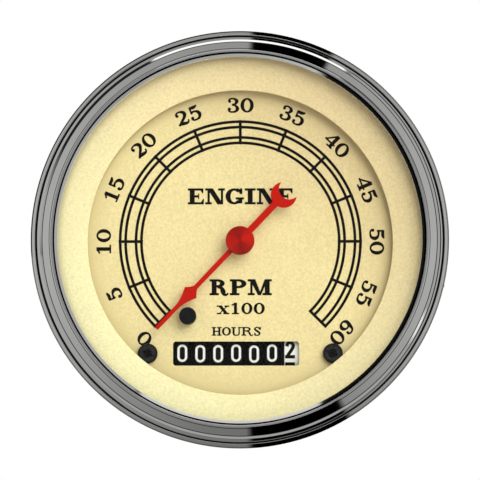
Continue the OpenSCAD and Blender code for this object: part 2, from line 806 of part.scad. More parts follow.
module shield_tube() {
    r = shield_size[0] / 2;
    color("silver")
        turned([[r - shield_size[1], chassis_rear_y + bobbin_leg], [r, chassis_rear_y + bobbin_leg],
            [r, base_y], [r - shield_size[1], base_y]]);
}

module coil_pins() {
    color("gold")
        for (x = [-1, 1])
            for (z = [-1, 1])
                rod([x, z] * pin_at, 0.4, base_y, board_rear_y + 1.5, $fn = 24);
}

// Steel plate behind the dial, with the counter's opening and two notches
// that let the light of the lamps through.
module chassis_plate() {
    color("gray")
        difference() {
            slab(dial_rear_y, chassis_rear_y)
                circle(dial_r);
            slab(dial_rear_y - 1, chassis_rear_y + 1)
                translate([0, counter_z])
                    round_rect([2 * frame_half_w - 1.6, wheel_opening_h], 1);
            rod([0, 0], spindle_d / 2 + 1, dial_rear_y - 1, chassis_rear_y + 1);
            rod(stop_at, stop_r / 2, dial_rear_y - 1, chassis_rear_y + 1);
            both_sides() {
                rod([dial_screw_x, counter_z], dial_screw_r + 0.2, dial_rear_y - 1, chassis_rear_y + 1);
                rod(lamp_at, lamp_r, dial_rear_y - 1, chassis_rear_y + 1);
                for (at = pillar_at)
                    countersunk(at);
            }
        }
}

// Countersunk head and shank of a chassis screw.
module countersunk(at) {
    translate([at[0], 0, at[1]])
        turned([[0, dial_rear_y], [pillar_screw_r + chassis_t, dial_rear_y],
            [pillar_screw_r, chassis_rear_y], [pillar_screw_r, chassis_rear_y + pillar_screw_len],
            [0, chassis_rear_y + pillar_screw_len]]);
}

module chassis_screws() {
    color("silver")
        both_sides()
            for (at = pillar_at)
                countersunk(at);
}

// The front pillars carry the circuit board behind the chassis plate.
module front_pillars() {
    color("goldenrod")
        both_sides()
            for (at = pillar_at)
                difference() {
                    slab(chassis_rear_y, board_y)
                        translate(at)
                            hexagon(pillar_flats);
                    rod(at, pillar_screw_r, chassis_rear_y - 1, board_y + 1);
                }
}

// The rear pillars go through the board into the front ones, and the case is
// screwed to them.
module rear_pillars() {
    color("goldenrod")
        both_sides()
            for (at = pillar_at)
                difference() {
                    union() {
                        slab(board_rear_y, case_inner_y)
                            translate(at)
                                hexagon(pillar_flats);
                        rod(at, pillar_screw_r, board_y - 5, board_rear_y + 1);
                    }
                    rod(at, pillar_screw_r, case_inner_y - 8, case_inner_y + 1);
                }
}

module circuit_board() {
    h = board_z[1] - board_z[0];
    color([0.1, 0.35, 0.18])
        difference() {
            slab(board_y, board_rear_y)
                translate([0, (board_z[0] + board_z[1]) / 2])
                    round_rect([board_w, h], 6);
            both_sides()
                for (at = pillar_at)
                    rod(at, pillar_screw_r, board_y - 1, board_rear_y + 1);
            for (x = [-1, 1])
                for (z = [-1, 1])
                    rod([x, z] * pin_at, 0.4, board_y - 1, board_rear_y + 1, $fn = 24);
        }
}

// A chip in a moulded body with two rows of eight bent legs.
module controller_chip() {
    leg_w = chip_leg[0];
    rise = chip_leg[1];
    reach = chip_leg[2];
    leg_t = leg_w / 2;
    half = chip_size[2] / 2;
    color([0.12, 0.12, 0.13])
        translate([13 - upper_pillar[0], board_rear_y + rise, chip_z]) {
            translate([-chip_size[0] / 2, 0, -half])
                cube(chip_size);
            for (i = [0:7])
                for (side = [-1, 1])
                    translate([(i - 3.5) * chip_size[0] / 8.2 - leg_w / 2, 0, 0]) {
                        translate([0, chip_size[1] / 2 - leg_t, side > 0 ? half : -half - reach])
                            cube([leg_w, leg_t, reach]);
                        translate([0, -rise, side > 0 ? half + reach - leg_t : -half - reach])
                            cube([leg_w, rise + chip_size[1] / 2, leg_t]);
                    }
        }
}

// Round cans with a pressed groove near the board.
module capacitors() {
    can_r = capacitor_size[0];
    y0 = board_rear_y;
    y1 = board_rear_y + capacitor_size[1];
    dent = can_r / 9;
    color([0.2, 0.25, 0.4])
        for (i = [0, 1])
            translate([upper_pillar[0] - 12, 0, -4 + 1.35 * 2 * can_r * i])
                turned([[0, y0], [can_r, y0], [can_r, y0 + 3 * dent], [can_r - dent, y0 + 4 * dent],
                    [can_r, y0 + 5 * dent], [can_r, y1 - dent], [can_r - dent, y1], [0, y1]]);
}

// Wire-ended resistors: a body with swollen ends on two bent wires.
module resistors() {
    r = resistor_size[0];
    length = resistor_size[1];
    wire_r = resistor_wire[0];
    lift = resistor_wire[1];
    reach = length / 2 + 2;
    color([0.78, 0.65, 0.45])
        for (i = [0:3])
            translate([11 - upper_pillar[0], board_rear_y, 5 + board_z[0] + 2.6 * r * i]) {
                translate([-length / 2, lift, 0])
                    rotate([0, 90, 0])
                        rotate_extrude($fn = 32)
                            polygon([[0, 0], [0.9 * r, 0.05 * length], [r, 0.2 * length],
                                [0.8 * r, 0.3 * length], [0.8 * r, 0.7 * length],
                                [r, 0.8 * length], [0.9 * r, 0.95 * length], [0, length]]);
                translate([-reach, lift, 0])
                    rotate([0, 90, 0])
                        cylinder(r = wire_r, h = 2 * reach, $fn = 24);
                for (side = [-1, 1])
                    translate([side * reach, 0, 0])
                        rotate([-90, 0, 0])
                            cylinder(r = wire_r, h = lift + wire_r, $fn = 24);
            }
}

// One strip of sheet, bent like a hat: ears on the chassis plate, two sides
// that hold the shafts, and a back behind the gears.
module counter_frame() {
    w = frame_half_w;
    t = frame_t;
    ear_x = dial_screw_x + 3.4;
    ear_h = 9;
    color("silver")
        difference() {
            union() {
                translate([0, 0, counter_z - frame_h / 2])
                    linear_extrude(frame_h)
                        polygon(strip(
                            [[w, chassis_rear_y], [w + t, chassis_rear_y], [w + t, frame_rear_y],
                                [w, frame_rear_y + t]],
                            [[w, frame_rear_y - frame_bend], [w - frame_bend, frame_rear_y]]));
                both_sides()
                    translate([w, chassis_rear_y, counter_z - ear_h / 2])
                        cube([ear_x - w, t, ear_h]);
            }
            both_sides()
                rod([dial_screw_x, counter_z], dial_screw_r, chassis_rear_y - 1, chassis_rear_y + t + 1);
            along_x(-w - t - 1, w + t + 1, [counter_y, counter_z])
                circle(counter_shaft_r);
            along_x(-w - t - 1, w + t + 1, [pinion_y, counter_z])
                circle(pinion_shaft_r);
            along_x(0, w + t + 1, [motor_y, motor_z])
                circle(motor_size[0] / 3);
        }
}

module counter_shaft() {
    color("silver")
        along_x(-shaft_end_x, shaft_end_x, [counter_y, counter_z])
            circle(counter_shaft_r);
}

module pinion_shaft() {
    color("silver")
        along_x(-shaft_end_x, shaft_end_x, [pinion_y, counter_z])
            circle(pinion_shaft_r);
}

// Number wheel k, counted from the right. Its rim carries the digits, a ring
// of teeth stands on its right side and the plain carry ring on its left.
module number_wheel(k) {
    x = first_wheel_x - (k - 1) * wheel_pitch;
    bore = counter_shaft_r + shaft_play;
    left = rim_w / 2;
    right = k == 1 ? first_rim_w : rim_w / 2;
    hub_left = k == wheels ? x + frame_half_w - hub_play : left + carry_ring_w;
    hub_right = k == 1 ? frame_half_w - hub_play - x : right + ring_gear_w;
    sleeve = ring_root_r - 0.7;
    carry_r = carry_centres - pinion_tip_r - 0.25;
    color(k == 1 ? [0.88, 0.88, 0.84] : [0.06, 0.06, 0.06])
        translate([x, counter_y, counter_z])
            rotate([90, 0, 90]) {
                rotate_extrude()
                    polygon([[bore, -hub_left], [bore + 1.3, -hub_left], [bore + 1.3, -0.5],
                        [carry_r - 0.7, -0.5], [carry_r - 0.7, -left - carry_ring_w],
                        [carry_r, -left - carry_ring_w], [carry_r, -0.5],
                        [wheel_r - 0.9, -0.5], [wheel_r - 0.9, -left], [wheel_r, -left],
                        [wheel_r, right], [wheel_r - 0.9, right], [wheel_r - 0.9, 0.5],
                        [ring_root_r, 0.5], [ring_root_r, right + ring_gear_w],
                        [sleeve, right + ring_gear_w], [sleeve, 0.5],
                        [bore + 1.3, 0.5], [bore + 1.3, hub_right], [bore, hub_right]]);
                translate([0, 0, right])
                    linear_extrude(ring_gear_w)
                        difference() {
                            rotate(180 / ring_teeth)
                                gear_outline(ring_teeth, carry_module, -tooth_shift);
                            circle(ring_root_r - 0.3);
                        }
            }
}

module number_wheel_1() {
    number_wheel(1);
}

module number_wheel_2() {
    number_wheel(2);
}

module number_wheel_3() {
    number_wheel(3);
}

module number_wheel_4() {
    number_wheel(4);
}

module number_wheel_5() {
    number_wheel(5);
}

module number_wheel_6() {
    number_wheel(6);
}

module number_wheel_7() {
    number_wheel(7);
}

// Carry pinion k runs between the rims of wheels k and k + 1. All its teeth
// mesh with the ring of the higher wheel, and each second one is long enough
// to reach the carry ring of the lower wheel.
module carry_pinion(k) {
    lower_x = first_wheel_x - (k - 1) * wheel_pitch;
    x0 = lower_x - wheel_pitch + rim_w / 2 + side_play;
    x1 = lower_x - rim_w / 2 - side_play;
    color([0.86, 0.84, 0.78])
        difference() {
            union() {
                along_x(x0, x0 + ring_gear_w, [pinion_y, counter_z])
                    gear_outline(pinion_teeth, carry_module, tooth_shift);
                along_x(x0 + ring_gear_w, x1, [pinion_y, counter_z])
                    gear_outline(pinion_teeth, carry_module, tooth_shift, 2);
            }
            along_x(x0 - 1, x1 + 1, [pinion_y, counter_z])
                circle(pinion_shaft_r + shaft_play);
        }
}

module carry_pinion_1() {
    carry_pinion(1);
}

module carry_pinion_2() {
    carry_pinion(2);
}

module carry_pinion_3() {
    carry_pinion(3);
}

module carry_pinion_4() {
    carry_pinion(4);
}

module carry_pinion_5() {
    carry_pinion(5);
}

module carry_pinion_6() {
    carry_pinion(6);
}

// The motor's gear and the pinion that turns the tenths wheel, in one piece.
module drive_gear() {
    color([0.86, 0.84, 0.78])
        difference() {
            union() {
                along_x(drive_x, drive_wheel_x, [pinion_y, counter_z])
                    gear_outline(pinion_teeth, carry_module, tooth_shift);
                along_x(drive_wheel_x, drive_wheel_x + motor_gear_w, [pinion_y, counter_z])
                    rotate(motor_angle + 180 / motor_teeth[0])
                        gear_outline(motor_teeth[0], motor_module, -tooth_shift);
            }
            along_x(drive_x - 1, drive_wheel_x + motor_gear_w + 1, [pinion_y, counter_z])
                circle(pinion_shaft_r + shaft_play);
        }
}

module motor_pinion() {
    color("goldenrod") {
        along_x(drive_wheel_x, drive_wheel_x + motor_gear_w, [motor_y, motor_z])
            rotate(motor_angle + 180)
                gear_outline(motor_teeth[1], motor_module, tooth_shift);
        along_x(drive_wheel_x, frame_half_w + frame_t + 4, [motor_y, motor_z])
            circle(motor_shaft_r);
    }
}

// A round can on the outside of the frame, with a boss through its side.
module counter_motor() {
    r = motor_size[0];
    face_x = frame_half_w + frame_t;
    color([0.55, 0.56, 0.58])
        translate([0, motor_y, motor_z])
            rotate([90, 0, 90])
                rotate_extrude()
                    polygon([[motor_shaft_r + shaft_play, face_x - frame_t], [r / 3, face_x - frame_t],
                        [r / 3, face_x], [r - 0.5, face_x], [r, face_x + 0.5],
                        [r, face_x + motor_size[1] - 0.8], [r - 0.8, face_x + motor_size[1]],
                        [0, face_x + motor_size[1]], [0, face_x + 4.5],
                        [motor_shaft_r + shaft_play, face_x + 4.5]]);
}

// Drawn cup with a flange that the bezel is crimped over.
module case() {
    w = case_wall;
    corner = case_corner_r;
    color([0.16, 0.16, 0.17])
        difference() {
            turned(concat(
                [[case_r - w, case_flange_y], [flange_r, case_flange_y], [flange_r, -bezel_wall]],
                [[case_r, -bezel_wall]],
                arc([case_r - corner, case_depth - corner], corner, 0, 90, 6),
                [[0, case_depth], [0, case_inner_y]],
                arc([case_r - corner, case_depth - corner], corner - w, 90, 0, 6)));
            both_sides() {
                rod([stud_x, 0], stud_r, case_inner_y - 1, case_depth + 1);
                rod(lamp_at, lamp_r, case_inner_y - 1, case_depth + 1);
                for (at = pillar_at)
                    rod(at, pillar_screw_r, case_inner_y - 1, case_depth + 1);
            }
            slab(case_inner_y - 1, case_depth + 1)
                translate([0, terminal_z])
                    round_rect(block_size - [8, 6], 1.5);
        }
}

module case_screws() {
    color("silver")
        for (side = [-1, 1])
            for (at = pillar_at)
                pan_screw([side * at[0], at[1]], case_depth, 1, pillar_screw_r,
                    case_wall + pillar_screw_len);
}

// Twist-in lamp holders: a flange outside the case, a socket inside it and a
// grip with two flats behind.
module lamp_holders() {
    flange_y = case_depth + lamp_holder_t[0];
    neck_r = bulb_size[0] * 5 / 7;
    seat_y = case_depth - lamp_holder_t[0] * 2 / 3;
    color([0.1, 0.1, 0.11])
        both_sides()
            translate([lamp_at[0], 0, lamp_at[1]])
                difference() {
                    union() {
                        turned([[0, flange_y], [1.2 * lamp_r, flange_y],
                            [1.2 * lamp_r, case_depth], [lamp_r, case_depth],
                            [lamp_r, case_depth - lamp_r], [neck_r, case_depth - lamp_r],
                            [neck_r, seat_y], [0, seat_y]]);
                        slab(flange_y, flange_y + lamp_holder_t[1])
                            intersection() {
                                circle(lamp_r * 5 / 6);
                                square([2 * lamp_r, lamp_r * 5 / 6], center = true);
                            }
                    }
                }
}

module lamp_bulbs() {
    bulb_r = bulb_size[0];
    neck_r = bulb_r * 5 / 7;
    y1 = case_depth - lamp_holder_t[0] * 2 / 3;
    y0 = y1 - bulb_size[1];
    color([1, 0.95, 0.8, 0.5])
        both_sides()
            translate([lamp_at[0], 0, lamp_at[1]])
                turned(concat(
                    [[0, y1], [0, y0]],
                    arc([0, y0 + bulb_r], bulb_r, -90, 0, 8),
                    [[bulb_r, y0 + 0.55 * bulb_size[1]], [neck_r, y0 + 0.68 * bulb_size[1]],
                        [neck_r, y1]]));
}

// Moulded block with a barrier between the terminals. Its rear part fills the
// slot in the case.
module terminal_block() {
    color([0.09, 0.09, 0.1])
        difference() {
            union() {
                slab(case_depth, case_depth + block_t)
                    translate([0, terminal_z])
                        round_rect(block_size, 2);
                slab(case_inner_y - 2, case_depth)
                    translate([0, terminal_z])
                        round_rect(block_size - [8, 6], 1.5);
                for (i = [0:terminals])
                    translate([(i - terminals / 2) * terminal_step - barrier_t / 2, case_depth,
                            terminal_z - block_h / 2 + 1])
                        cube([barrier_t, block_t + 4, block_h - 2]);
            }
            for (x = terminal_x)
                rod([x, terminal_z], terminal_r, case_inner_y - 3, case_depth + block_t + 1);
        }
}

module terminal_studs() {
    color("gold")
        for (x = terminal_x)
            translate([x, 0, terminal_z])
                turned([[0, board_rear_y], [1.6 * terminal_r, board_rear_y],
                    [1.6 * terminal_r, board_rear_y + terminal_r / 2],
                    [terminal_r, board_rear_y + terminal_r / 2],
                    [terminal_r, case_depth + terminal_len - terminal_r / 4],
                    [terminal_r * 3 / 4, case_depth + terminal_len], [0, case_depth + terminal_len]]);
}

// A hexagon nut with chamfered corners on its outer side.
module hex_nut(at, flats, thick, hole_r, y0) {
    corner_r = flats / sqrt(3);
    translate([at[0], 0, at[1]])
        difference() {
            intersection() {
                slab(y0, y0 + thick)
                    rotate(30)
                        hexagon(flats);
                turned([[0, y0], [corner_r, y0], [corner_r, y0 + thick - 0.6],
                    [flats / 2 - 0.2, y0 + thick], [0, y0 + thick]]);
            }
            rod([0, 0], hole_r, y0 - 1, y0 + thick + 1);
        }
}

module flat_washer(at, outer_r, hole_r, thick, y0) {
    translate([at[0], 0, at[1]])
        turned([[hole_r, y0], [outer_r, y0], [outer_r, y0 + thick], [hole_r, y0 + thick]]);
}

module terminal_washers() {
    color("gold")
        for (x = terminal_x)
            flat_washer([x, terminal_z], terminal_nut_flats / 2 + 0.3, terminal_r + 0.15, washer_t,
                case_depth + block_t);
}

module terminal_nuts() {
    color("gold")
        for (x = terminal_x)
            hex_nut([x, terminal_z], terminal_nut_flats, terminal_nut_t, terminal_r,
                case_depth + block_t + washer_t);
}

module bracket_studs() {
    color("silver")
        both_sides()
            translate([stud_x, 0, 0])
                turned([[0, case_inner_y - stud_r / 2], [1.8 * stud_r, case_inner_y - stud_r / 2],
                    [1.8 * stud_r, case_inner_y], [stud_r, case_inner_y],
                    [stud_r, case_depth + stud_len - stud_r / 4],
                    [stud_r * 3 / 4, case_depth + stud_len], [0, case_depth + stud_len]]);
}

// U-shaped strap whose legs press on the back of the panel.
module clamp_bracket() {
    bend = strap_bend_r;
    t = strap_t;
    corner = [leg_x - bend, strap_y - bend];
    color("silver")
        difference() {
            translate([0, 0, -strap_w / 2])
                linear_extrude(strap_w)
                    polygon(strip(
                        concat([[leg_x, panel_t], [leg_x + t, panel_t]],
                            arc(corner, bend + t, 0, 90, 6)),
                        arc(corner, bend, 0, 90, 6)));
            both_sides()
                rod([stud_x, 0], stud_r + 0.3, strap_y - 1, strap_y + t + 1);
        }
}

module bracket_washers() {
    color("silver")
        both_sides()
            flat_washer([stud_x, 0], stud_nut_flats / 2 + 0.25, stud_r + 0.15, washer_t,
                strap_y + strap_t);
}

module bracket_nuts() {
    color("silver")
        both_sides()
            hex_nut([stud_x, 0], stud_nut_flats, stud_nut_t, stud_r, strap_y + strap_t + washer_t);
}

bezel();
lens();
lens_gasket();
dial_ring();
dial_plate();
scale_print();
dial_screws();
zero_stop();
pointer();
pointer_hub();
spindle();
rotor_magnet();
front_bush();
rear_bush();
bobbin_front();
bobbin_rear();
sine_coil();
cosine_coil();
shield_tube();
coil_pins();
chassis_plate();
chassis_screws();
front_pillars();
rear_pillars();
circuit_board();
controller_chip();
capacitors();
resistors();
counter_frame();
counter_shaft();
pinion_shaft();
number_wheel_1();
number_wheel_2();
number_wheel_3();
number_wheel_4();
number_wheel_5();
number_wheel_6();
number_wheel_7();
carry_pinion_1();
carry_pinion_2();
carry_pinion_3();
carry_pinion_4();
carry_pinion_5();
carry_pinion_6();
drive_gear();
motor_pinion();
counter_motor();
case();
case_screws();
lamp_holders();
lamp_bulbs();
terminal_block();
terminal_studs();
terminal_nuts();
terminal_washers();
bracket_studs();
clamp_bracket();
bracket_washers();
bracket_nuts();
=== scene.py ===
"""Dresses a packed panel tachometer: a finish for each solid, the smooth bezel, the printed
figures and words, the wheels' figures and the screw threads, all in the frame of the solids."""
import fnmatch
import json
import math

import bmesh
import bpy
import numpy as np
from bpy.props import FloatProperty, FloatVectorProperty, IntProperty, PointerProperty
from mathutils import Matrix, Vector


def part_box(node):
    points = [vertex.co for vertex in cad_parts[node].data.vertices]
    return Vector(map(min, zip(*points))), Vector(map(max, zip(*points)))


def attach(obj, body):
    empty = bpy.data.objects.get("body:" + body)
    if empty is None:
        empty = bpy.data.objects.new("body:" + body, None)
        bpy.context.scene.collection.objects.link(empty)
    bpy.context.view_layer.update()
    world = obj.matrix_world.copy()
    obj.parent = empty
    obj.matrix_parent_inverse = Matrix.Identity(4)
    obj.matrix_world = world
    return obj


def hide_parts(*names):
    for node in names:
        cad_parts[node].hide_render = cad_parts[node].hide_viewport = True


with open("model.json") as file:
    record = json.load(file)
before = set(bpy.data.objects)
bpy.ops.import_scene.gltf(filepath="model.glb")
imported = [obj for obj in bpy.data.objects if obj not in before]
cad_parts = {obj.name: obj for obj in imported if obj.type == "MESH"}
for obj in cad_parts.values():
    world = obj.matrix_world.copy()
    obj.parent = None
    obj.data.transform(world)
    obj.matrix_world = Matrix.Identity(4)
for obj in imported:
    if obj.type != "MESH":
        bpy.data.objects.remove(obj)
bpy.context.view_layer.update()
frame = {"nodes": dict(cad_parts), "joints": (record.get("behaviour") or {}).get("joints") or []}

bl_info = {
    "name": "Tachometer Dressing",
    "version": (1, 0, 0),
    "blender": (4, 5, 0),
    "location": "View3D > Sidebar > Gauge",
    "description": "Finishes and fine pieces for a panel tachometer with an hour counter",
    "category": "Object",
}

MM = 0.001
HOUSING = "housing"
JOINTS = {joint["name"]: joint for joint in frame["joints"]}


def number(name, value, text, **more):
    """A number of the sidebar, as it is."""
    return FloatProperty(name=name, description=text, default=value, **more)


def count(name, value, text, **more):
    """A whole number of the sidebar."""
    return IntProperty(name=name, description=text, default=value, **more)


def length(name, millimetres, text):
    """A length of the sidebar, stored in metres."""
    return number(name, millimetres * MM, text, min=0.0, precision=6, subtype="DISTANCE",
                  unit="LENGTH")


def angle(name, degrees, text):
    """An angle of the sidebar, stored in radians."""
    return number(name, math.radians(degrees), text, subtype="ANGLE", unit="ROTATION")


def colour(name, red, green, blue, text):
    """A colour given by the levels that a screen shows, from 0 to 255, stored as light."""
    shown = np.array([red, green, blue]) / 255
    light = np.where(shown <= 0.04045, shown / 12.92, ((shown + 0.055) / 1.055) ** 2.4)
    return FloatVectorProperty(name=name, description=text, default=light.tolist(), min=0.0,
                               max=1.0, subtype="COLOR")


class BezelSettings(bpy.types.PropertyGroup):
    """Sizes of the turned ring, from its clear opening outwards."""
    face: length("Face width", 7.55, "From the clear opening to the rim")
    lip: length("Inner slope", 0.85, "Width of the slope round the clear opening")
    shelf: length("Inner shelf", 0.25, "Width of the shallow slope before the front bead")
    bead: length("Front bead", 0.95, "Width of the bead at the front edge")
    bead_height: length("Bead height", 0.25, "Height of the bead over the slopes beside it")
    band: length("Band", 2.05, "Width of the broad sloped band")
    shoulder: length("Shoulder", 0.7, "Width of the shallow part of the middle step")
    step: length("Step", 0.35, "Width of each of the middle step's two steep parts")
    groove: length("Groove", 0.35, "Width of the fine grooves")
    groove_depth: length("Groove depth", 0.6, "Depth of the groove between the two steps")
    rim: length("Rim", 0.4, "Width of the rim outside the last step")
    steep: angle("Steep slope", 44, "Slope of the band and of the last step")
    step_slope: angle("Step slope", 48, "Slope of the middle step's upper steep part")
    step_foot: angle("Step foot", 53, "Slope of the middle step's lower steep part")
    shallow: angle("Shallow slope", 33, "Slope of the middle step's shallow part")
    rim_slope: angle("Rim slope", 60, "Slope of the rim, which rounds into the side")
    lip_slope: angle("Inner slope", 26, "Slope round the clear opening")
    shelf_slope: angle("Shelf slope", 19, "Slope of the inner shelf")
    blend: length("Blend", 0.09, "How far each edge of the section is eased")
    wall: length("Wall", 0.7, "Thickness of the sheet")
    taper: length("Taper", 0.25, "How far the side draws in towards the panel")
    crimp: length("Crimp", 2.9, "Width of the lip that is folded in at the back")
    metal: colour("Chrome", 240, 240, 238, "Colour of the plating")


class DialSettings(bpy.types.PropertyGroup):
    """Print and paint of the dial."""
    paint: colour("Dial paint", 244, 226, 167, "Cream of the dial")
    # The dial's and the ring's second colours are painted shade on their upper right.
    aged: colour("Aged dial paint", 226, 203, 152, "Tan of the dial's upper right")
    ring_paint: colour("Ring paint", 250, 242, 190, "Pale cream of the ring's lower left")
    ring_aged: colour("Aged ring paint", 255, 228, 174, "Peach of the ring's upper right")
    ring: length("Ring width", 8.4, "Width of the cream ring inside the bezel")
    ring_low: length("Opening drop", 0.5, "How far the ring's opening sits under the axis")
    ring_wide: length("Opening growth", 0.1, "How much wider the opening is than the solid's")
    ring_edge: length("Edge lift", 3.2, "Height of the ring's opening over the dial")
    ring_wall: length("Ring wall", 1.0, "Thickness of the ring's edge")
    ring_foot: length("Foot inset", 1.3, "From the dial's rim to the ring's foot")
    ink: colour("Ink", 9, 6, 5, "Brown black of the print")
    ink_height: length("Ink thickness", 0.03, "How far the ink stands on the paint")
    figure_height: length("Figure height", 4.15, "Height of the scale's figures")
    figure_radius: length("Figure radius", 38.45, "From the axis to the figures' middle")
    figure_step: count("Figure step", 5, "Step from figure to figure", min=1)
    steps: count("Steps", 12, "Number of steps on the scale", min=1)
    start: angle("Scale start", 225, "Angle of the first figure, counterclockwise from the right")
    sweep: angle("Scale sweep", 270, "Angle that the scale runs clockwise")
    nudge: angle("First nudge", 0.45, "How far the first figure is moved counterclockwise")
    last_nudge: angle("Last nudge", 3.15, "How far the last figure is moved clear of its screw")


class CounterSettings(bpy.types.PropertyGroup):
    """Figures on the number wheels."""
    height: length("Figure height", 4.95, "Height of a wheel's figures")
    width: length("Figure width", 2.8, "Width of a wheel's figures")
    stroke: length("Stroke", 0.66, "Width of the black wheels' strokes")
    rise: length("Last wheel's rise", 1.15, "How far the white wheel has turned past its figure")
    shown: count("Last figure", 2, "Figure that the white wheel shows", min=0, max=9)
    white: colour("White", 246, 246, 238, "Print of the black wheels, and the white wheel")
    black: colour("Black", 7, 7, 8, "Colour of the black wheels")


class PointerSettings(bpy.types.PropertyGroup):
    """Paint of the pointer and of its hub."""
    paint: colour("Red", 192, 20, 2, "Paint of the pointer and its hub")


class RearSettings(bpy.types.PropertyGroup):
    """Threads and colours of the parts behind the panel."""
    pitch: length("Clamp pitch", 0.8, "Thread pitch of the clamp studs")
    clamp_head: number("Clamp head", 1.8, "Head of a clamp stud by its shank", min=1.0)
    fine_pitch: length("Terminal pitch", 0.7, "Thread pitch of the terminal studs")
    terminal_head: number("Terminal head", 1.6, "Head of a terminal stud by its shank", min=1.0)
    thread: length("Thread", 16, "Length of the threads behind the case")
    black: colour("Enamel", 30, 30, 32, "Baked enamel of the case")


class StageSettings(bpy.types.PropertyGroup):
    """Camera, floor and light."""
    distance: length("Camera distance", 3000, "Distance of the camera from the panel plane")
    view_width: length("View width", 134.98, "Width of the picture in the panel plane")
    azimuth: angle("Azimuth", 1.0, "Angle from the gauge's axis to the camera, to the right")
    elevation: angle("Elevation", 4.0, "Angle from the gauge's axis down to the camera")
    aim_left: length("Aim left", 0.04, "Middle of the picture, to the left of the axis")
    aim_up: length("Aim up", 0.2, "Middle of the picture, over the axis")
    floor_drop: length("Floor drop", 250, "Height of the axis over the floor")
    floor_size: length("Floor size", 6000, "Length of the floor's sides")
    key: number("Key light", 120.0, "Power of the key light", min=0.0, unit="POWER")
    key_size: length("Key size", 2600, "Length of the key light's sides")
    key_distance: length("Key distance", 3000, "Distance of the key light from the gauge")
    fill: number("Fill", 0.36, "Level of the light from all round", min=0.0, max=1.0,
                 subtype="FACTOR")


class GaugeSettings(bpy.types.PropertyGroup):
    """All settings of the dressing."""
    bezel: PointerProperty(type=BezelSettings)
    dial: PointerProperty(type=DialSettings)
    counter: PointerProperty(type=CounterSettings)
    pointer: PointerProperty(type=PointerSettings)
    rear: PointerProperty(type=RearSettings)
    stage: PointerProperty(type=StageSettings)


# Shader maths

def maths(operation, swapped=False):
    """A method for one of Python's operators, which adds a Math node."""
    def method(self, other):
        return self.tree.math(operation, *((other, self) if swapped else (self, other)))

    return method


class Value:
    """A socket of a node tree. Python's operators on it add Math nodes."""

    def __init__(self, tree, socket):
        self.tree = tree
        self.socket = socket

    __add__ = __radd__ = maths("ADD")
    __mul__ = __rmul__ = maths("MULTIPLY")
    __sub__ = maths("SUBTRACT")
    __rsub__ = maths("SUBTRACT", swapped=True)
    __truediv__ = maths("DIVIDE")
    __pow__ = maths("POWER")

    def function(self, operation):
        """A function of this value alone."""
        return self.tree.math(operation, self)

    def clamp(self):
        """The value held between nought and one."""
        return self.tree.node("Math", [self, 0.0], operation="ADD", use_clamp=True)

    def between(self, low, high, soft):
        """One from low to high, falling to nought over soft on both sides."""
        rise = ((self - low) / soft + 0.5).clamp()
        fall = ((high - self) / soft + 0.5).clamp()
        return rise * fall


class Tree:
    """The nodes of a material or of the world."""

    def __init__(self, owner):
        owner.use_nodes = True
        self.owner = owner
        self.nodes = owner.node_tree.nodes
        self.links = owner.node_tree.links
        self.nodes.clear()

    def node(self, kind, sockets=(), output=0, **settings):
        """Adds a node: its settings first, then a value or a link for each of its sockets."""
        made = self.nodes.new("ShaderNode" + kind)
        for key, value in settings.items():
            setattr(made, key, value)
        pairs = sockets.items() if isinstance(sockets, dict) else enumerate(sockets)
        for key, value in pairs:
            socket = made.inputs[key]
            if isinstance(value, Value):
                self.links.new(value.socket, socket)
            elif socket.type == "RGBA":
                socket.default_value = (*value[:3], 1.0)
            else:
                socket.default_value = value
        return Value(self, made.outputs[output]) if len(made.outputs) else None

    def math(self, operation, *sockets):
        """A Math node."""
        return self.node("Math", sockets, operation=operation)

    def place(self):
        """Object coordinates, in metres."""
        return self.node("TexCoord", output="Object")

    def axes(self, vector=None):
        """The three parts of a vector, or of the object coordinates."""
        split = self.node("SeparateXYZ", [vector or self.place()]).socket.node
        return [Value(self, split.outputs[i]) for i in range(3)]

    def noise(self, size, detail=2.0, rough=0.5, vector=None):
        """Soft noise from nought to one, with features about size metres wide."""
        sockets = {"Vector": vector or self.place(), "Scale": 1 / size, "Detail": detail,
                   "Roughness": rough}
        return self.node("TexNoise", sockets)

    def stretch(self, factors):
        """Object coordinates scaled along each axis, for brushed and rolled marks."""
        return self.node("VectorMath", [self.place(), factors], operation="MULTIPLY")

    def rings(self, radius, pace, rough):
        """Turning marks: noise that changes with the radius alone, pace times in a metre."""
        along = self.node("CombineXYZ", [radius * pace])
        return self.noise(1.0, 3.0, rough, along)

    def mix(self, factor, first, second):
        """Runs from the first colour to the second."""
        return self.node("Mix", {0: factor, 6: first, 7: second}, 2, data_type="RGBA")

    def bump(self, height, depth):
        """A normal from a height of nought to one that stands for depth metres."""
        return self.node("Bump", {"Distance": depth, "Height": height})

    def principled(self, **sockets):
        """A Principled shader. Underscores in the names stand for spaces."""
        named = {key.replace("_", " "): value for key, value in sockets.items()}
        return self.node("BsdfPrincipled", named, "BSDF")

    def surface(self, **sockets):
        """The material, with a Principled shader for its surface."""
        self.node("OutputMaterial", [self.principled(**sockets)])
        return self.owner

    def mottled(self, tint, broad, darkest, palest, fine, depth, **sockets):
        """A surface whose tint runs between two factors with the broad noise, and whose skin
        follows the fine noise, depth metres high."""
        return self.surface(
            Base_Color=self.mix(broad, shade(tint, darkest), shade(tint, palest)),
            Normal=self.bump(fine, depth),
            **sockets)


def shade(value, factor):
    """A colour made darker or lighter by a factor."""
    return tuple(min(1.0, part * factor) for part in value[:3])


def hypot(first, second):
    """The length of a vector's two parts."""
    return (first * first + second * second) ** 0.5


def material(name):
    """A new material's tree."""
    return Tree(bpy.data.materials.new(name))


# Finishes

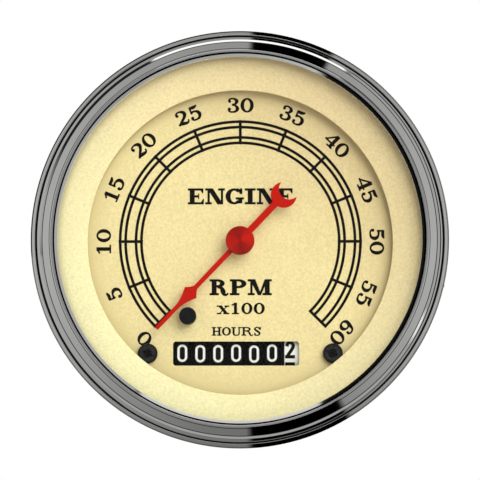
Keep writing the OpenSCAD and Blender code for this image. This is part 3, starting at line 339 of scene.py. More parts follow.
def chrome(tint, shade_rings):
    """Bright plating with a breath of haze and the faint rings of the polishing wheel. Rings of
    painted shade, given by radius, half width and strength, darken it along the grooves."""
    tree = material("polished_chrome")
    x, _, z = tree.axes()
    radius = hypot(x, z)
    rings = tree.rings(radius, 9000, 0.6)
    haze = tree.noise(14 * MM, 4.0)
    # Painted shade: each ring darkens the plating towards black.
    painted_shade = 0.0
    for middle, half, strength in shade_rings:
        painted_shade = radius.between(middle - half, middle + half, 0.08 * MM) * strength + painted_shade
    return tree.surface(
        Base_Color=tree.mix(painted_shade, tree.mix(haze, shade(tint, 0.93), tint), (0, 0, 0)),
        Metallic=1.0,
        Roughness=0.03 + 0.05 * haze * haze + 0.02 * rings,
        Normal=tree.bump(rings, 0.4e-6))


def satin_cream(name, tint, gloss, edge_r=1.0, edge_w=1.0, edge_tone=1.0, aged=None, shade_from=0.0,
                shaded=False):
    """Satin paint with a fine speckle, faint clouds and the powder's dimpled skin. Painted shade
    darkens it to edge_tone over the last edge_w metres before the radius edge_r, and if it is
    shaded only at the upper left. Towards the upper right it turns to a darker second colour,
    also painted shade, from the given share of the way across on, and darkens half as much
    at the edge there."""
    tree = material(name)
    speckle = tree.noise(0.7 * MM, 2.0, 0.7)
    clouds = tree.noise(9 * MM)
    tone = (speckle * 3 - 1.2 + clouds * 0.4).clamp()
    x, _, z = tree.axes()
    radius = hypot(x, z)
    edge = ((radius - (edge_r - edge_w)) / edge_w).clamp()
    # Painted shade at the edge, held to the upper left when shaded.
    if shaded:
        edge = edge * (0.55 + (z * 0.65 - x * 0.4) / radius).clamp() ** 0.5
    dark, pale, rim = [shade(tint, factor) for factor in (0.88, 1.04, edge_tone)]
    # Painted shade: a darker second colour towards the upper right.
    if aged:
        side = (((x * 0.64 + z * 0.77) / edge_r * 0.5 + 0.5 - shade_from) / (1 - shade_from)).clamp()
        dark = tree.mix(side, dark, shade(aged, 0.88))
        pale = tree.mix(side, pale, shade(aged, 1.04))
        rim = tree.mix(side, rim, shade(aged, 0.5 + 0.5 * edge_tone))
    return tree.surface(
        Base_Color=tree.mix(edge * edge, tree.mix(tone, dark, pale), rim),
        Roughness=gloss + 0.12 * speckle,
        Specular_IOR_Level=0.35,
        Normal=tree.bump(speckle, 6e-6))


def print_ink(name, tint):
    """Screen print: dense ink with a slightly uneven coat."""
    tree = material(name)
    coat = tree.noise(0.3 * MM, 3.0)
    return tree.mottled(tint, coat, 0.75, 1.3, coat, 3e-6,
                        Roughness=0.55 + 0.2 * coat, Specular_IOR_Level=0.15)


def enamel(name, tint, rough=0.3, peel=1.2, depth=8e-6, coat=0.3, gloss=0.5):
    """Sprayed or baked paint with an orange peel skin, peel millimetres wide."""
    tree = material(name)
    skin = tree.noise(peel * MM)
    return tree.mottled(tint, tree.noise(12 * MM, 3.0), 0.86, 1.12, skin, depth,
                        Roughness=rough + 0.14 * skin, Specular_IOR_Level=gloss,
                        Coat_Weight=coat, Coat_Roughness=0.12)


def hub_paint(tint):
    """Red paint over a turned face with fine rings. Its colour is paler in two opposite fans, a
    painted sheen, and dark at the very middle, painted shade of the dimple.
    """
    tree = material("hub_red")
    x, _, z = tree.axes()
    radius = hypot(x, z)
    rings = tree.rings(radius, 16000, 0.7)
    # Painted sheen: two opposite fans of paler colour.
    sheen_fans = (tree.math("ARCTAN2", z, x) * 2 - math.radians(30)).function("COSINE") * 0.5 + 0.5
    # Painted shade darkens the middle 0.6 mm.
    light = ((sheen_fans * 0.85 + rings * 0.3 - 0.1) * (radius / (0.6 * MM)).clamp()).clamp()
    return tree.mottled(tint, light, 0.48, 1.0, rings, 5e-6,
                        Roughness=0.38 + 0.18 * rings, Specular_IOR_Level=0.12)


def worked_metal(name, tint, rough=0.3, grain=(1, 1, 1), size=0.6, depth=4e-6, stain=0.12):
    """Turned, drawn or rolled metal: grain drawn out along an axis, and dull patches."""
    tree = material(name)
    lines = tree.noise(size * MM, 3.0, 0.6, tree.stretch(grain))
    patches = tree.noise(6 * MM, 3.0)
    return tree.mottled(tint, patches, 1 - stain, 1 + stain, lines, depth,
                        Metallic=1.0, Roughness=rough + 0.16 * lines + 0.1 * patches)


def moulding(name, tint, rough=0.45, size=0.25, gloss=0.5):
    """Moulded plastic or phenolic: a fine spark-eroded grain and faint flow marks."""
    tree = material(name)
    grain = tree.noise(size * MM, 2.0, 0.6)
    return tree.mottled(tint, tree.noise(7 * MM, 4.0), 0.85, 1.15, grain, 5e-6,
                        Roughness=rough + 0.15 * grain, Specular_IOR_Level=gloss)


def rimmed(name, rim, body, node, joint):
    """A moulded wheel on a shaft along X, with a rim of another colour than its body."""
    tree = material(name)
    low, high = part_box(node)
    pivot = JOINTS[joint]["pos_m"]
    _, y, z = tree.axes()
    inside = (high.y - low.y) / 2 - 0.5 * MM
    face = hypot(y - pivot[1], z - pivot[2]).between(inside, 1, 0.1 * MM)
    grain = tree.noise(0.25 * MM, 2.0, 0.6)
    flow = tree.mix(tree.noise(7 * MM, 4.0), shade(rim, 0.85), shade(rim, 1.15))
    return tree.surface(
        Base_Color=tree.mix(face, body, flow),
        Roughness=0.42 + 0.15 * grain,
        Normal=tree.bump(grain, 5e-6))


def screw_heads(name, tint, highlight_tint, node):
    """A pair of blackened screws, left and right of the axis. Each head's flat carries a speckled
    ring of painted highlight round the recess, and its round edge stays black."""
    tree = material(name)
    low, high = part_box(node)
    head = (high.z - low.z) / 2
    x, _, z = tree.axes()
    reach = hypot(x.function("ABSOLUTE") - (high.x - head), z - (low.z + head))
    # Painted highlight: a paler speckled ring round the recess.
    ring = reach.between(0.45 * head, 0.8 * head, 0.2 * head)
    speck = tree.noise(0.5 * MM, 2.0, 0.7)
    return tree.surface(
        Base_Color=tree.mix(ring * (speck * 3 - 0.9).clamp(), tint, highlight_tint),
        Roughness=0.4 + 0.14 * speck,
        Specular_IOR_Level=0.2,
        Normal=tree.bump(speck, 1.2e-5))


def clear_glass(name, tint, rough=0.0):
    """Clear glass: it mirrors by Fresnel's law and lets the rest pass, with a faint film."""
    tree = material(name)
    film = tree.noise(18 * MM, 4.0)
    mirror = tree.node("Fresnel", {"IOR": 1.46})
    shine = tree.principled(Base_Color=tint, Metallic=1.0,
                            Roughness=rough + 0.02 + 0.03 * film)
    clear = tree.node("BsdfTransparent", [tint])
    glass = tree.node("MixShader", [mirror * (0.3 + 0.1 * film), clear, shine])
    tree.node("OutputMaterial", [glass])
    return tree.owner


def wire_layers(name, tint, pitch):
    """Enamelled copper wire, one round turn beside the next. Its colour darkens between the
    turns, painted shade, and pales on their crests, a painted highlight.
    """
    tree = material(name)
    _, y, _ = tree.axes()
    turn = (y * (2 * math.pi / pitch)).function("SINE") * 0.5 + 0.5
    run = tree.noise(2 * MM, 3.0)
    return tree.mottled(tint, turn * (0.7 + 0.3 * run), 0.45, 1.1, turn, pitch / 4,
                        Metallic=0.85, Roughness=0.28 + 0.15 * run, Coat_Weight=0.5)


def solder_mask(name, tint, track):
    """A circuit board: copper tracks show paler through the green mask, on a grid of tenths
    of an inch."""
    tree = material(name)
    tenth = 2.54 * MM
    x, _, z = tree.axes()
    lanes = (x * (2 * math.pi / tenth)).function("SINE")
    cross = (z * (2 * math.pi / (2 * tenth))).function("SINE")
    blocks = tree.noise(11 * MM, 0.0)
    tracks = (lanes - 0.35 + (blocks - 0.5) * 3).clamp() + (cross - 0.8).clamp()
    tracks = (tracks * 2).clamp()
    weave = tree.noise(0.5 * MM)
    return tree.surface(
        Base_Color=tree.mix(tracks, tint, track),
        Roughness=0.3 + 0.2 * weave,
        Coat_Weight=0.4,
        Normal=tree.bump(tracks * 0.8 + weave * 0.2, 3e-5))


def banded(name, body, bands, period, width):
    """A small part whose body carries coloured bands across its length."""
    tree = material(name)
    x, _, _ = tree.axes()
    ring = (x * (2 * math.pi / period)).function("COSINE").between(1 - width, 2, 0.1)
    skin = tree.noise(0.8 * MM)
    return tree.surface(
        Base_Color=tree.mix(ring, tree.mix(skin, shade(body, 0.9), body), bands),
        Roughness=0.3 + 0.12 * skin,
        Normal=tree.bump(skin, 6e-6))


def finishes(gauge):
    """Each finish with the solids that take it, as names or patterns of names."""
    b, dial, wheel = gauge.bezel, gauge.dial, gauge.counter
    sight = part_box("bezel")[1].x - b.face
    shelf_end = sight + b.lip + b.shelf
    band = shelf_end + b.bead + b.groove / 2
    # Rings of painted shade on the chrome: radius, half width and strength.
    shade_rings = [
        (shelf_end - 0.1 * MM, 0.24 * MM, 1.0),
        (band, 0.09 * MM, 0.9),
        (band + b.band - 0.03 * MM, 0.12 * MM, 0.9),
        (band + b.band + b.shoulder + 2 * b.step + b.groove, 0.13 * MM, 1.0)]
    red = gauge.pointer.paint
    # The screws' second colour is their painted highlight.
    screw, highlight_tint, stop = (0.002, 0.002, 0.002), (0.034, 0.032, 0.038), (0.007, 0.006, 0.007)
    steel, gold, zinc = (0.56, 0.56, 0.57), (0.74, 0.55, 0.25), (0.58, 0.6, 0.62)
    about_y = (1, 0.12, 1)
    return [
        (chrome(b.metal, shade_rings), "bezel"),
        (clear_glass("front_glass", (0.985, 0.99, 0.985)), "lens"),
        (moulding("rubber_black", (0.018, 0.018, 0.018), 0.7), "lens_gasket"),
        # The ring: painted shade over its outer 2 mm by the bezel, strongest at the upper left,
        # and its painted shade colour towards the upper right.
        (satin_cream("ring_cream", dial.ring_paint, 0.5, sight, 2 * MM, 0.6, dial.ring_aged,
                     0.0, True), "dial_ring"),
        # The dial: painted shade over its outer 8.5 mm inside the ring's opening, and its painted
        # shade colour over the upper right part.
        (satin_cream("dial_cream", dial.paint, 0.55, sight - dial.ring, 8.5 * MM, 0.8,
                     dial.aged, 0.6), "dial_plate"),
        (print_ink("scale_ink", dial.ink), "scale_print"),
        (screw_heads("screw_black", screw, highlight_tint, "dial_screws"), "dial_screws"),
        (enamel("stop_black", stop, 0.4, 0.5, 6e-6, 0.0, 0.2), "zero_stop"),
        (enamel("pointer_red", red, 0.5, 0.9, 5e-6, 0.0, 0.1), "pointer"),
        (hub_paint(red), "pointer_hub"),
        (worked_metal("bright_steel", steel, 0.22, (1, 0.15, 1), 0.3),
         "spindle counter_shaft pinion_shaft coil_pins case_screws chassis_screws"),
        (worked_metal("sintered_magnet", (0.09, 0.09, 0.095), 0.5, (1, 1, 1), 0.4, 1e-5),
         "rotor_magnet"),
        (worked_metal("turned_brass", gold, 0.2, about_y, 0.35),
         "front_bush rear_bush motor_pinion"),
        (moulding("bobbin_black", (0.03, 0.03, 0.032)), "bobbin_front bobbin_rear"),
        (wire_layers("sine_wire", (0.62, 0.24, 0.09), 0.22 * MM), "sine_coil"),
        (wire_layers("cosine_wire", (0.7, 0.31, 0.13), 0.22 * MM), "cosine_coil"),
        (worked_metal("annealed_shield", (0.45, 0.44, 0.42), 0.4, (1, 0.1, 1), 0.5),
         "shield_tube"),
        (worked_metal("zinc_sheet", zinc, 0.34, (1, 1, 0.08), 0.5, 5e-6, 0.16),
         "chassis_plate counter_frame clamp_bracket"),
        (worked_metal("zinc_turned", zinc, 0.26, about_y, 0.4, 4e-6, 0.1),
         "*_pillars bracket_studs bracket_washers bracket_nuts"),
        (solder_mask("board_green", (0.02, 0.13, 0.045), (0.12, 0.38, 0.16)), "circuit_board"),
        (moulding("chip_black", (0.022, 0.022, 0.024), 0.55), "controller_chip"),
        (enamel("capacitor_sleeve", (0.015, 0.03, 0.11), 0.25), "capacitors"),
        (banded("resistor_bands", (0.62, 0.47, 0.28), (0.35, 0.05, 0.03), 1.5 * MM, 0.5),
         "resistors"),
        (worked_metal("motor_can", (0.5, 0.5, 0.51), 0.25, (0.1, 1, 1), 0.4), "counter_motor"),
        (moulding("nylon_white", (0.72, 0.7, 0.62), 0.4), "drive_gear carry_pinion_?"),
        (rimmed("wheel_white", wheel.white, wheel.black, "number_wheel_1", "wheel_1_spin"),
         "number_wheel_1"),
        (moulding("wheel_black", wheel.black, 0.5, gloss=0.12), "number_wheel_[2-7]"),
        (enamel("case_enamel", gauge.rear.black, 0.3, 1.6, 1.2e-5, 0.35), "case"),
        (moulding("block_phenolic", (0.016, 0.015, 0.015), 0.4, 0.4),
         "terminal_block lamp_holders"),
        (clear_glass("bulb_glass", (0.97, 0.96, 0.93), 0.03), "lamp_bulbs"),
        (worked_metal("terminal_brass", gold, 0.24, about_y, 0.3),
         "terminal_studs terminal_nuts terminal_washers"),
    ]


# Meshes. RING_SIDES and STUD_SIDES are the faces round a ring and round a stud, EASE_STEPS the
# parts of an eased corner, and EASE_SHARE the most of a straight that one corner takes.

RING_SIDES = 288
STUD_SIDES = 24
EASE_STEPS = 6
EASE_SHARE = 0.28


def grid(points, wrap_rows=False, wrap_columns=False):
    """Joins a grid of points by quads, end to end where it wraps."""
    index = np.arange(points.shape[0] * points.shape[1]).reshape(points.shape[:2])
    if wrap_rows:
        index = np.vstack([index, index[:1]])
    if wrap_columns:
        index = np.hstack([index, index[:, :1]])
    quads = np.stack([index[:-1, :-1], index[1:, :-1], index[1:, 1:], index[:-1, 1:]], -1)
    return points.reshape(-1, 3), quads.reshape(-1, 4)


def piece(name, parts, finish, slot, stands_for=(), body=HOUSING, sharp=40):
    """Makes one object from parts of points and quads, welds it and turns its faces outwards.
    finish is the name of a material that an operator has made."""
    if finish not in bpy.data.materials:
        raise RuntimeError(f"the material {finish} isn't made yet")
    offsets = np.cumsum([0] + [len(points) for points, _ in parts])
    points = np.concatenate([points for points, _ in parts])
    quads = np.concatenate([quads + start for (_, quads), start in zip(parts, offsets)])
    mesh = bpy.data.meshes.new(name)
    mesh.from_pydata(points.tolist(), [], quads.tolist())
    work = bmesh.new()
    work.from_mesh(mesh)
    bmesh.ops.remove_doubles(work, verts=work.verts, dist=1e-8)
    bmesh.ops.dissolve_degenerate(work, edges=work.edges, dist=1e-9)
    bmesh.ops.recalc_face_normals(work, faces=work.faces)
    work.to_mesh(mesh)
    work.free()
    mesh.polygons.foreach_set("use_smooth", np.ones(len(mesh.polygons), bool))
    mesh.set_sharp_from_angle(angle=math.radians(sharp))
    mesh.materials.append(bpy.data.materials[finish])
    made = bpy.data.objects.new(name, mesh)
    bpy.context.scene.collection.objects.link(made)
    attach(made, body)
    if stands_for:
        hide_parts(*stands_for)
    return made


def turned(profile, sides=RING_SIDES, lift=0.0):
    """A closed outline of (radius, y) carried round the Y axis: x = r cos a, z = r sin a + l."""
    radius, y = np.asarray(profile, float).T
    a = np.linspace(0, 2 * np.pi, sides, endpoint=False)[:, None]
    x = radius * np.cos(a)
    z = radius * np.sin(a) + lift
    return grid(np.stack([x, np.broadcast_to(y, x.shape), z], -1), True, True)


def threaded(x, z, radius, head, ends, thread, pitch):
    """A stud about Y, from its head at ends[0] to its chamfer at ends[1]. Over its last part it
    follows r(a, y) = R - 0.6 p |2 frac(y / p - a / 2 pi) - 1|, on a grid that climbs with it."""
    a = np.linspace(0, 2 * np.pi, STUD_SIDES + 1)[None, :]
    bottom, end = ends
    start = end - thread
    under = bottom + radius / 2
    y = np.arange(start - pitch, end + pitch / 4, pitch / 2)[:, None] + pitch * a / (2 * np.pi)
    y = np.clip(y, start, end)
    tooth = np.abs(2 * np.mod((y - start) / pitch - a / (2 * np.pi), 1.0) - 1)
    reach = radius - 0.6 * pitch * tooth * np.clip((y - start) / pitch, 0, 1)
    reach = np.minimum(reach, radius - np.maximum(y - (end - radius / 4), 0))
    plain = [(0, bottom), (0.97 * head * radius, bottom), (head * radius, bottom + 0.03 * radius),
             (head * radius, under), (radius, under)]
    r_head, y_head = np.array(plain).T[:, :, None] * np.ones_like(a)
    reach = np.vstack([r_head, reach, 0 * a])
    y = np.vstack([y_head, y, end + 0 * a])
    return grid(np.stack([x + reach * np.cos(a), y, z + reach * np.sin(a)], -1))


def eased(corners, reach):
    """A closed outline with its corners eased: within reach of a corner c it follows
    (1 - t)^2 a + 2 t (1 - t) c + t^2 b, and points beyond a and b keep the straights flat."""
    c = np.asarray(corners, float)
    t = np.linspace(0, 1, EASE_STEPS + 1)[None, :, None]
    ends = []
    for shift in (1, -1):
        away = np.roll(c, shift, 0) - c
        size = np.linalg.norm(away, axis=1)[:, None]
        near = np.minimum(reach, EASE_SHARE * size)
        ends += [(c + away / size * near)[:, None], (c + away / size * near * 1.6)[:, None]]
    a, a_far, b, b_far = ends
    curve = (1 - t) ** 2 * a + 2 * t * (1 - t) * c[:, None] + t ** 2 * b
    return np.concatenate([a_far, curve, b_far], 1).reshape(-1, 2)


# Figures and letters. A glyph is a hundred units high. A stroke is a pair of edges, arrays of
# points, with the ink between them. ROWS is the number of points along a straight stroke,
# KNOT_STEPS that between two knots, THIN the least width of a brush, GAP the space between two
# letters, and STACKED the share of the ink's height by which each stroke tops the one before.

ROWS = 9
KNOT_STEPS = 7
THIN = 2
GAP = 8
STACKED = 0.02


def bar(x0, y0, x1, y1):
    """An upright block: its edges are its two sides."""
    return slant(x0, y0, x1 - x0, x0, y1, x1 - x0)


def slant(x0, y0, w0, x1, y1, w1):
    """A straight stroke, cut level at both ends: w0 wide from x0 at y0, w1 from x1 at y1."""
    t = np.linspace(0, 1, ROWS)
    left, y, width = x0 + (x1 - x0) * t, y0 + (y1 - y0) * t, w0 + (w1 - w0) * t
    return np.stack([left, y], -1), np.stack([left + width, y], -1)


def bow(x, y, rx, ry, start, end, side, top):
    """A bowl between an outer ellipse and an inner one that is side and top smaller."""
    a = np.radians(np.linspace(start, end, 4 * ROWS + 1))
    outer = np.stack([x + rx * np.cos(a), y + ry * np.sin(a)], -1)
    inner = np.stack([x + (rx - side) * np.cos(a), y + (ry - top) * np.sin(a)], -1)
    return outer, inner


def ball(x, y, radius):
    """A round end: its edges are the left and the right half of a circle."""
    a = np.linspace(-np.pi / 2, np.pi / 2, 2 * ROWS)
    across, up = radius * np.cos(a), y + radius * np.sin(a)
    return np.stack([x - across, up], -1), np.stack([x + across, up], -1)


def brush(*knots):
    """A smooth curve through knots of (x, y, width), with its edges half a width to each side.
    Between two knots it is the cubic that leaves each along the chord of its neighbours."""
    k = np.array(knots, float)
    k = np.vstack([2 * k[0] - k[1], k, 2 * k[-1] - k[-2]])[:, None, :]
    t = np.linspace(0, 1, KNOT_STEPS, endpoint=False)[None, :, None]
    a, b, c, d = k[:-3], k[1:-2], k[2:-1], k[3:]
    curve = (2 * b + (c - a) * t + (2 * a - 5 * b + 4 * c - d) * t ** 2
             + (3 * b - a - 3 * c + d) * t ** 3) / 2
    curve = np.vstack([curve.reshape(-1, 3), k[-2]])
    along = np.gradient(curve[:, :2], axis=0)
    along /= np.linalg.norm(along, axis=1)[:, None]
    normal = np.stack([-along[:, 1], along[:, 0]], -1) * np.maximum(curve[:, 2:], THIN) / 2
    return curve[:, :2] + normal, curve[:, :2] - normal


def stadium(x, y, w, h, stroke):
    """A ring of two half circles and two straight sides, w wide and h high."""
    a = np.linspace(0, 2 * np.pi, 8 * ROWS + 1)
    lift = np.sign(np.round(np.sin(a), 9)) * (h - w) / 2
    edges = []
    for radius in (w / 2, w / 2 - stroke):
        edges.append(np.stack([x + radius * np.cos(a), y + radius * np.sin(a) + lift], -1))
    return tuple(edges)


def serif_glyphs(T, t, s):
    """Book letters and figures with slab serifs: T and t are the thick and the thin stroke and
    s is the serifs' height. Gives each glyph's width and strokes."""
    def stem(x, width):
        return bar(x, 0, x + width, 100)

    def foot(left, right):
        return bar(left, 0, right, s)

    def head(left, right):
        return bar(left, 100 - s, right, 100)

    half = T / 2
    return {
        "0": (86, [bow(43, 50, 43, 50, 0, 360, T, t)]),
        "1": (74, [
            bar(38 - half, 0, 38 + half, 100), foot(10, 66),
            brush((8, 79, t), (20, 83, t), (38, 96, t * 1.3))]),
        "2": (84, [
            ball(17.5, 74.5, 10.5),
            brush((11, 78, t), (20, 92, t), (40, 95.5, t), (61, 86, T * 0.9), (68, 70, T),
                  (58, 50, T * 0.85), (34, 28, t * 1.4), (10, 8, t)),
            brush((8, 7, t), (24, 14, T * 0.9), (44, 11, T), (64, 8, T * 0.8), (76, 14, t),
                  (79, 28, t * 0.8))]),
        "3": (80, [
            ball(17.5, 76.5, 10), ball(15.5, 23.5, 11),
            brush((11, 80, t), (22, 93, t), (40, 95.5, t), (58, 88, T * 0.8), (63, 75, T),
                  (54, 60, T * 0.6), (32, 53, t)),
            brush((32, 53, t), (55, 48, T * 0.6), (68, 28, T), (58, 10, T * 0.75), (38, 4.5, t),
                  (20, 7, t), (9, 20, t))]),
        "4": (86, [
            stem(52, T), foot(36, 82), slant(2, 30, t * 1.2, 54, 100, t * 1.2),
            bar(2, 26, 85, 26 + t)]),
        "5": (80, [
            brush((15, 95, t), (30, 90, T * 0.9), (50, 90, T * 0.9), (68, 98, t * 0.8)),
            bar(13, 50, 13 + t, 96), ball(15.5, 22, 10.5),
            brush((15, 52, t), (28, 61, t * 1.2), (46, 60, T * 0.6), (62, 50, T * 0.9),
                  (68, 32, T), (58, 11, T * 0.75), (38, 4.5, t), (20, 7, t), (9, 19, t))]),
        "6": (84, [
            bow(44, 31.5, 38, 31.5, 0, 360, T, t), ball(65.5, 79, 9.5),
            brush((6 + half, 34, T), (10 + half, 58, T), (28, 85, T * 0.6), (48, 95.5, t),
                  (64, 91, t), (71, 81, t))]),
        "E": (102, [
            stem(12, T), head(0, 97), foot(0, 100), bar(12 + T, 50 - t / 2, 70, 50 + t / 2),
            bar(64, 33, 71, 67), slant(90, 68, 6, 80, 100 - s, 17), slant(82, s, 17, 96, 35, 6)]),
        "N": (120, [
            stem(14, t), stem(97, t), foot(0, 40), head(0, 36), head(80, 122),
            slant(97 + t - T * 1.15, 0, T * 1.15, 12, 100, T * 1.15)]),
        "G": (113, [
            bow(54, 50, 54, 50, 42, 318, T, s), bar(79, 6, 79 + T * 0.8, 44),
            bar(63, 44 - s, 114, 44), bar(90, 64, 90 + t, 100),
            brush((94, 70, t), (84, 88, t), (70, 95, t))]),
        "I": (68, [bar(34 - half, 0, 34 + half, 100), foot(0, 68), head(0, 68)]),
        "R": (120, [
            stem(13, T), foot(0, 13 + T + 14), head(0, 50), bar(30, 49, 56, 49 + t),
            bow(50, 74.5, 44, 25.5, -90, 90, T * 0.95, t),
            brush((50, 52, t), (72, 46, T * 0.7), (83, 26, T), (90, 8, T * 0.75), (104, 3, t),
                  (117, 13, t * 0.7))]),
        "P": (105, [
            stem(13, T), foot(0, 13 + T + 16), head(0, 56), bar(30, 44, 56, 44 + t),
            bow(54, 72, 49, 28, -90, 90, T, t)]),
        "M": (150, [
            stem(16, t), bar(137 - T, 0, 137, 100), foot(0, 44), foot(137 - T - 14, 150),
            head(0, 40), head(110, 150), slant(64, 0, T * 0.7, 13, 100, T * 1.1),
            slant(68, 0, t, 137 - T, 100, t * 1.4)]),
        "x": (98, [
            slant(94 - T * 1.25, 0, T * 1.25, 8, 76, T * 1.25), slant(10, 0, t, 80, 76, t),
            bar(0, 76 - s, 44, 76), bar(60, 76 - s, 96, 76), foot(0, 36), foot(50, 98)]),
        "H": (100, [
            stem(12, T), bar(88 - T, 0, 88, 100), bar(20, 50 - t / 2, 80, 50 + t / 2),
            foot(0, 24 + T), head(0, 24 + T), foot(76 - T, 100), head(76 - T, 100)]),
        "O": (93, [bow(46.5, 50, 46.5, 50, 0, 360, T * 1.1, t)]),
        "U": (100, [
            bar(12, 30, 12 + T, 100), bar(86 - t, 30, 86, 100),
            brush((12 + half, 32, T), (17 + half, 13, T * 0.9), (46, 5, t), (74, 13, t),
                  (86 - t / 2, 32, t)),
            head(0, 24 + T), head(68, 100)]),
        "S": (76, [
            brush((60, 72, t), (52, 90, t), (34, 95.5, t), (16, 86, T * 0.8), (15, 70, T),
                  (36, 53, T * 1.1), (58, 34, T), (58, 15, T * 0.8), (38, 4.5, t), (20, 8, t),
                  (10, 26, t)),
            bar(60, 66, 60 + t, 100), bar(6, 0, 6 + t, 34)]),
    }


def counter_glyphs(w, p):
    """Plain rounded figures of one even stroke, p thick and w wide, as wheel counters have."""
    def line(*points):
        return brush(*[(x, y, p) for x, y in points])

    c, r, l = w / 2, w - p / 2, p / 2
    leg = r - 12 - l
    six = [stadium(c, 29, w, 58, p),
           line((l, 30), (l, 62), (l + 9, 86), (c, 93.5), (r - 6, 86), (r, 72))]
    return {
        "0": [stadium(c, 50, w, 100, p)],
        "1": [bar(c - l, 0, c + l, 100), slant(c - 20, 74, p, c - l, 94, p)],
        "2": [line((l, 70), (l + 5, 85), (c, 93.5), (r - 5, 85), (r, 70), (r - 9, 50),
                   (l + 12, 26), (l + 1, 6)), bar(0, 0, w, p)],
        "3": [bar(0, 100 - p, w, 100), slant(c - 4 - l, 53, p, w - p, 95, p),
              line((c - 4, 53), (r - 6, 48), (r, 30), (r - 5, 13), (c, 6.5), (l + 5, 13),
                   (l, 27))],
        "4": [bar(leg, 0, r - 12 + l, 100), bar(0, 24, w, 24 + p), slant(0, 28, p, leg, 100, p)],
        "5": [bar(l - 2, 100 - p, w - 4, 100), bar(l - 2, 48, l - 2 + p, 95),
              line((l + 3, 52), (c, 61), (r - 4, 52), (r, 33), (r - 5, 14), (c, 6.5),
                   (l + 5, 12), (l, 25))],
        "6": six,
        "7": [bar(0, 100 - p, w, 100), slant(c - 12, 0, p, w - p, 95, p)],
        "8": [stadium(c, 27, w, 54, p), stadium(c, 74, w * 0.9, 52, p)],
        "9": [tuple(np.array([w, 100]) - edge for edge in stroke) for stroke in six],
    }


def inked(strokes, place):
    """The ink of strokes, each a closed bar: its two edges on the surface and at the ink's
    height. place turns across, up and height into points in space."""
    bars = []
    for number, (first, second) in enumerate(strokes):
        top = 1.0 + STACKED * number
        corners = [(first, top), (second, top), (second, -1.0), (first, -1.0)]
        points = np.stack([place(edge[:, 0], edge[:, 1], level) for edge, level in corners], 1)
        if np.allclose(first[0], first[-1], atol=1e-6):
            bars.append(grid(points[:-1], True, True))
            continue
        points, quads = grid(points, False, True)
        caps = np.array([[0, 1, 2, 3], [-1, -2, -3, -4]]) % len(points)
        bars.append((points, np.vstack([quads, caps])))
    return bars


def word(text, glyphs, height, wide=1.0, width=None):
    """The strokes of a word about its middle, in metres, with its letters drawn out by wide and
    spread until it is width wide."""
    widths = [glyphs[letter][0] * wide for letter in text]
    gap = GAP
    if width:
        gap = (100 * width / height - sum(widths)) / (len(text) - 1)
    x = -(sum(widths) + gap * (len(text) - 1)) / 2
    strokes = []
    for letter, advance in zip(text, widths):
        for edges in glyphs[letter][1]:
            strokes.append(tuple((edge * (wide, 1) + (x, -50)) * height / 100 for edge in edges))
        x += advance + gap
    return strokes


def on_dial(strokes, x, z, turn, y, thick):
    """Ink parts on the flat dial: the word's middle at (x, z), turned counterclockwise."""
    c, s = math.cos(turn), math.sin(turn)

    def place(across, up, level):
        return np.stack([x + across * c - up * s, np.full(len(up), y - level * thick),
                         z + across * s + up * c], -1)

    return inked(strokes, place)


def on_wheel(strokes, pivot, radius, turn, thick):
    """Ink parts bent on a wheel that turns about X: up runs round it, and height runs out."""
    def place(across, up, level):
        a = up / radius + turn
        reach = radius + level * thick
        return np.stack([pivot[0] + across, pivot[1] - reach * np.cos(a),
                         pivot[2] + reach * np.sin(a)], -1)

    return inked(strokes, place)


# Operators

class GAUGE_OT_finishes(bpy.types.Operator):
    """Give every solid its finish"""
    bl_idname = "gauge.finishes"
    bl_label = "Finishes"

    def execute(self, context):
        bare = set(frame["nodes"])
        for finish, patterns in finishes(context.scene.gauge):
            for pattern in patterns.split():
                for name in fnmatch.filter(frame["nodes"], pattern):
                    slots = frame["nodes"][name].data.materials
                    slots.clear()
                    slots.append(finish)
                    bare.remove(name)
        if bare:
            raise RuntimeError(f"no finish for {sorted(bare)}")
        return {"FINISHED"}


class GAUGE_OT_bezel(bpy.types.Operator):
    """Turn the smooth chrome ring that stands for the faceted one"""
    bl_idname = "gauge.bezel"
    bl_label = "Bezel"

    def execute(self, context):
        def fall(width, slope):
            return width, width * math.tan(slope)

        b = context.scene.gauge.bezel
        low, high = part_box("bezel")
        front, outer = low.y, high.x
        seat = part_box("lens_gasket")[0].y
        sight = outer - b.face
        start = front + b.bead_height
        foot = sight + b.lip + b.shelf
        body = b.face - b.lip - b.shelf - b.bead - b.band - b.shoulder - 2 * b.step - 3 * b.groove
        inside = [(foot, start), fall(-b.shelf, -b.shelf_slope), fall(-b.lip, -b.lip_slope)]
        outside = [(foot + b.bead, start), (b.groove / 2, b.groove / 2), fall(b.band, b.steep),
                   fall(b.shoulder, b.shallow), fall(b.step, b.step_slope),
                   fall(b.step, b.step_foot), (b.groove, b.groove_depth),
                   (b.groove, -b.groove), fall(body + b.groove / 2 - b.rim, b.steep),
                   fall(b.rim, b.rim_slope)]
        inside = np.cumsum(inside, axis=0)
        outside = np.cumsum(outside, axis=0)
        back = outer - b.wall
        corners = np.vstack([
            [(sight, seat)], inside[::-1],
            [(foot + b.bead / 4, front), (foot + 3 * b.bead / 4, front)], outside,
            [(outer - b.taper, -b.wall), (back, 0.0), (back - b.crimp, 0.0),
             (back - b.crimp, -b.wall), (back, -b.wall), (back, outside[-1, 1] + b.wall)],
            outside[2:0:-1] + (0.0, 1.2 * b.wall),
            [(foot, start + b.wall), (sight + b.wall, inside[-1, 1] + b.wall),
             (sight + b.wall, seat)]])
        made = piece("bezel_ring", [turned(eased(corners, b.blend), 360)], "polished_chrome",
                     "bezel", ["bezel"], sharp=50)
        made.visible_shadow = False
        return {"FINISHED"}


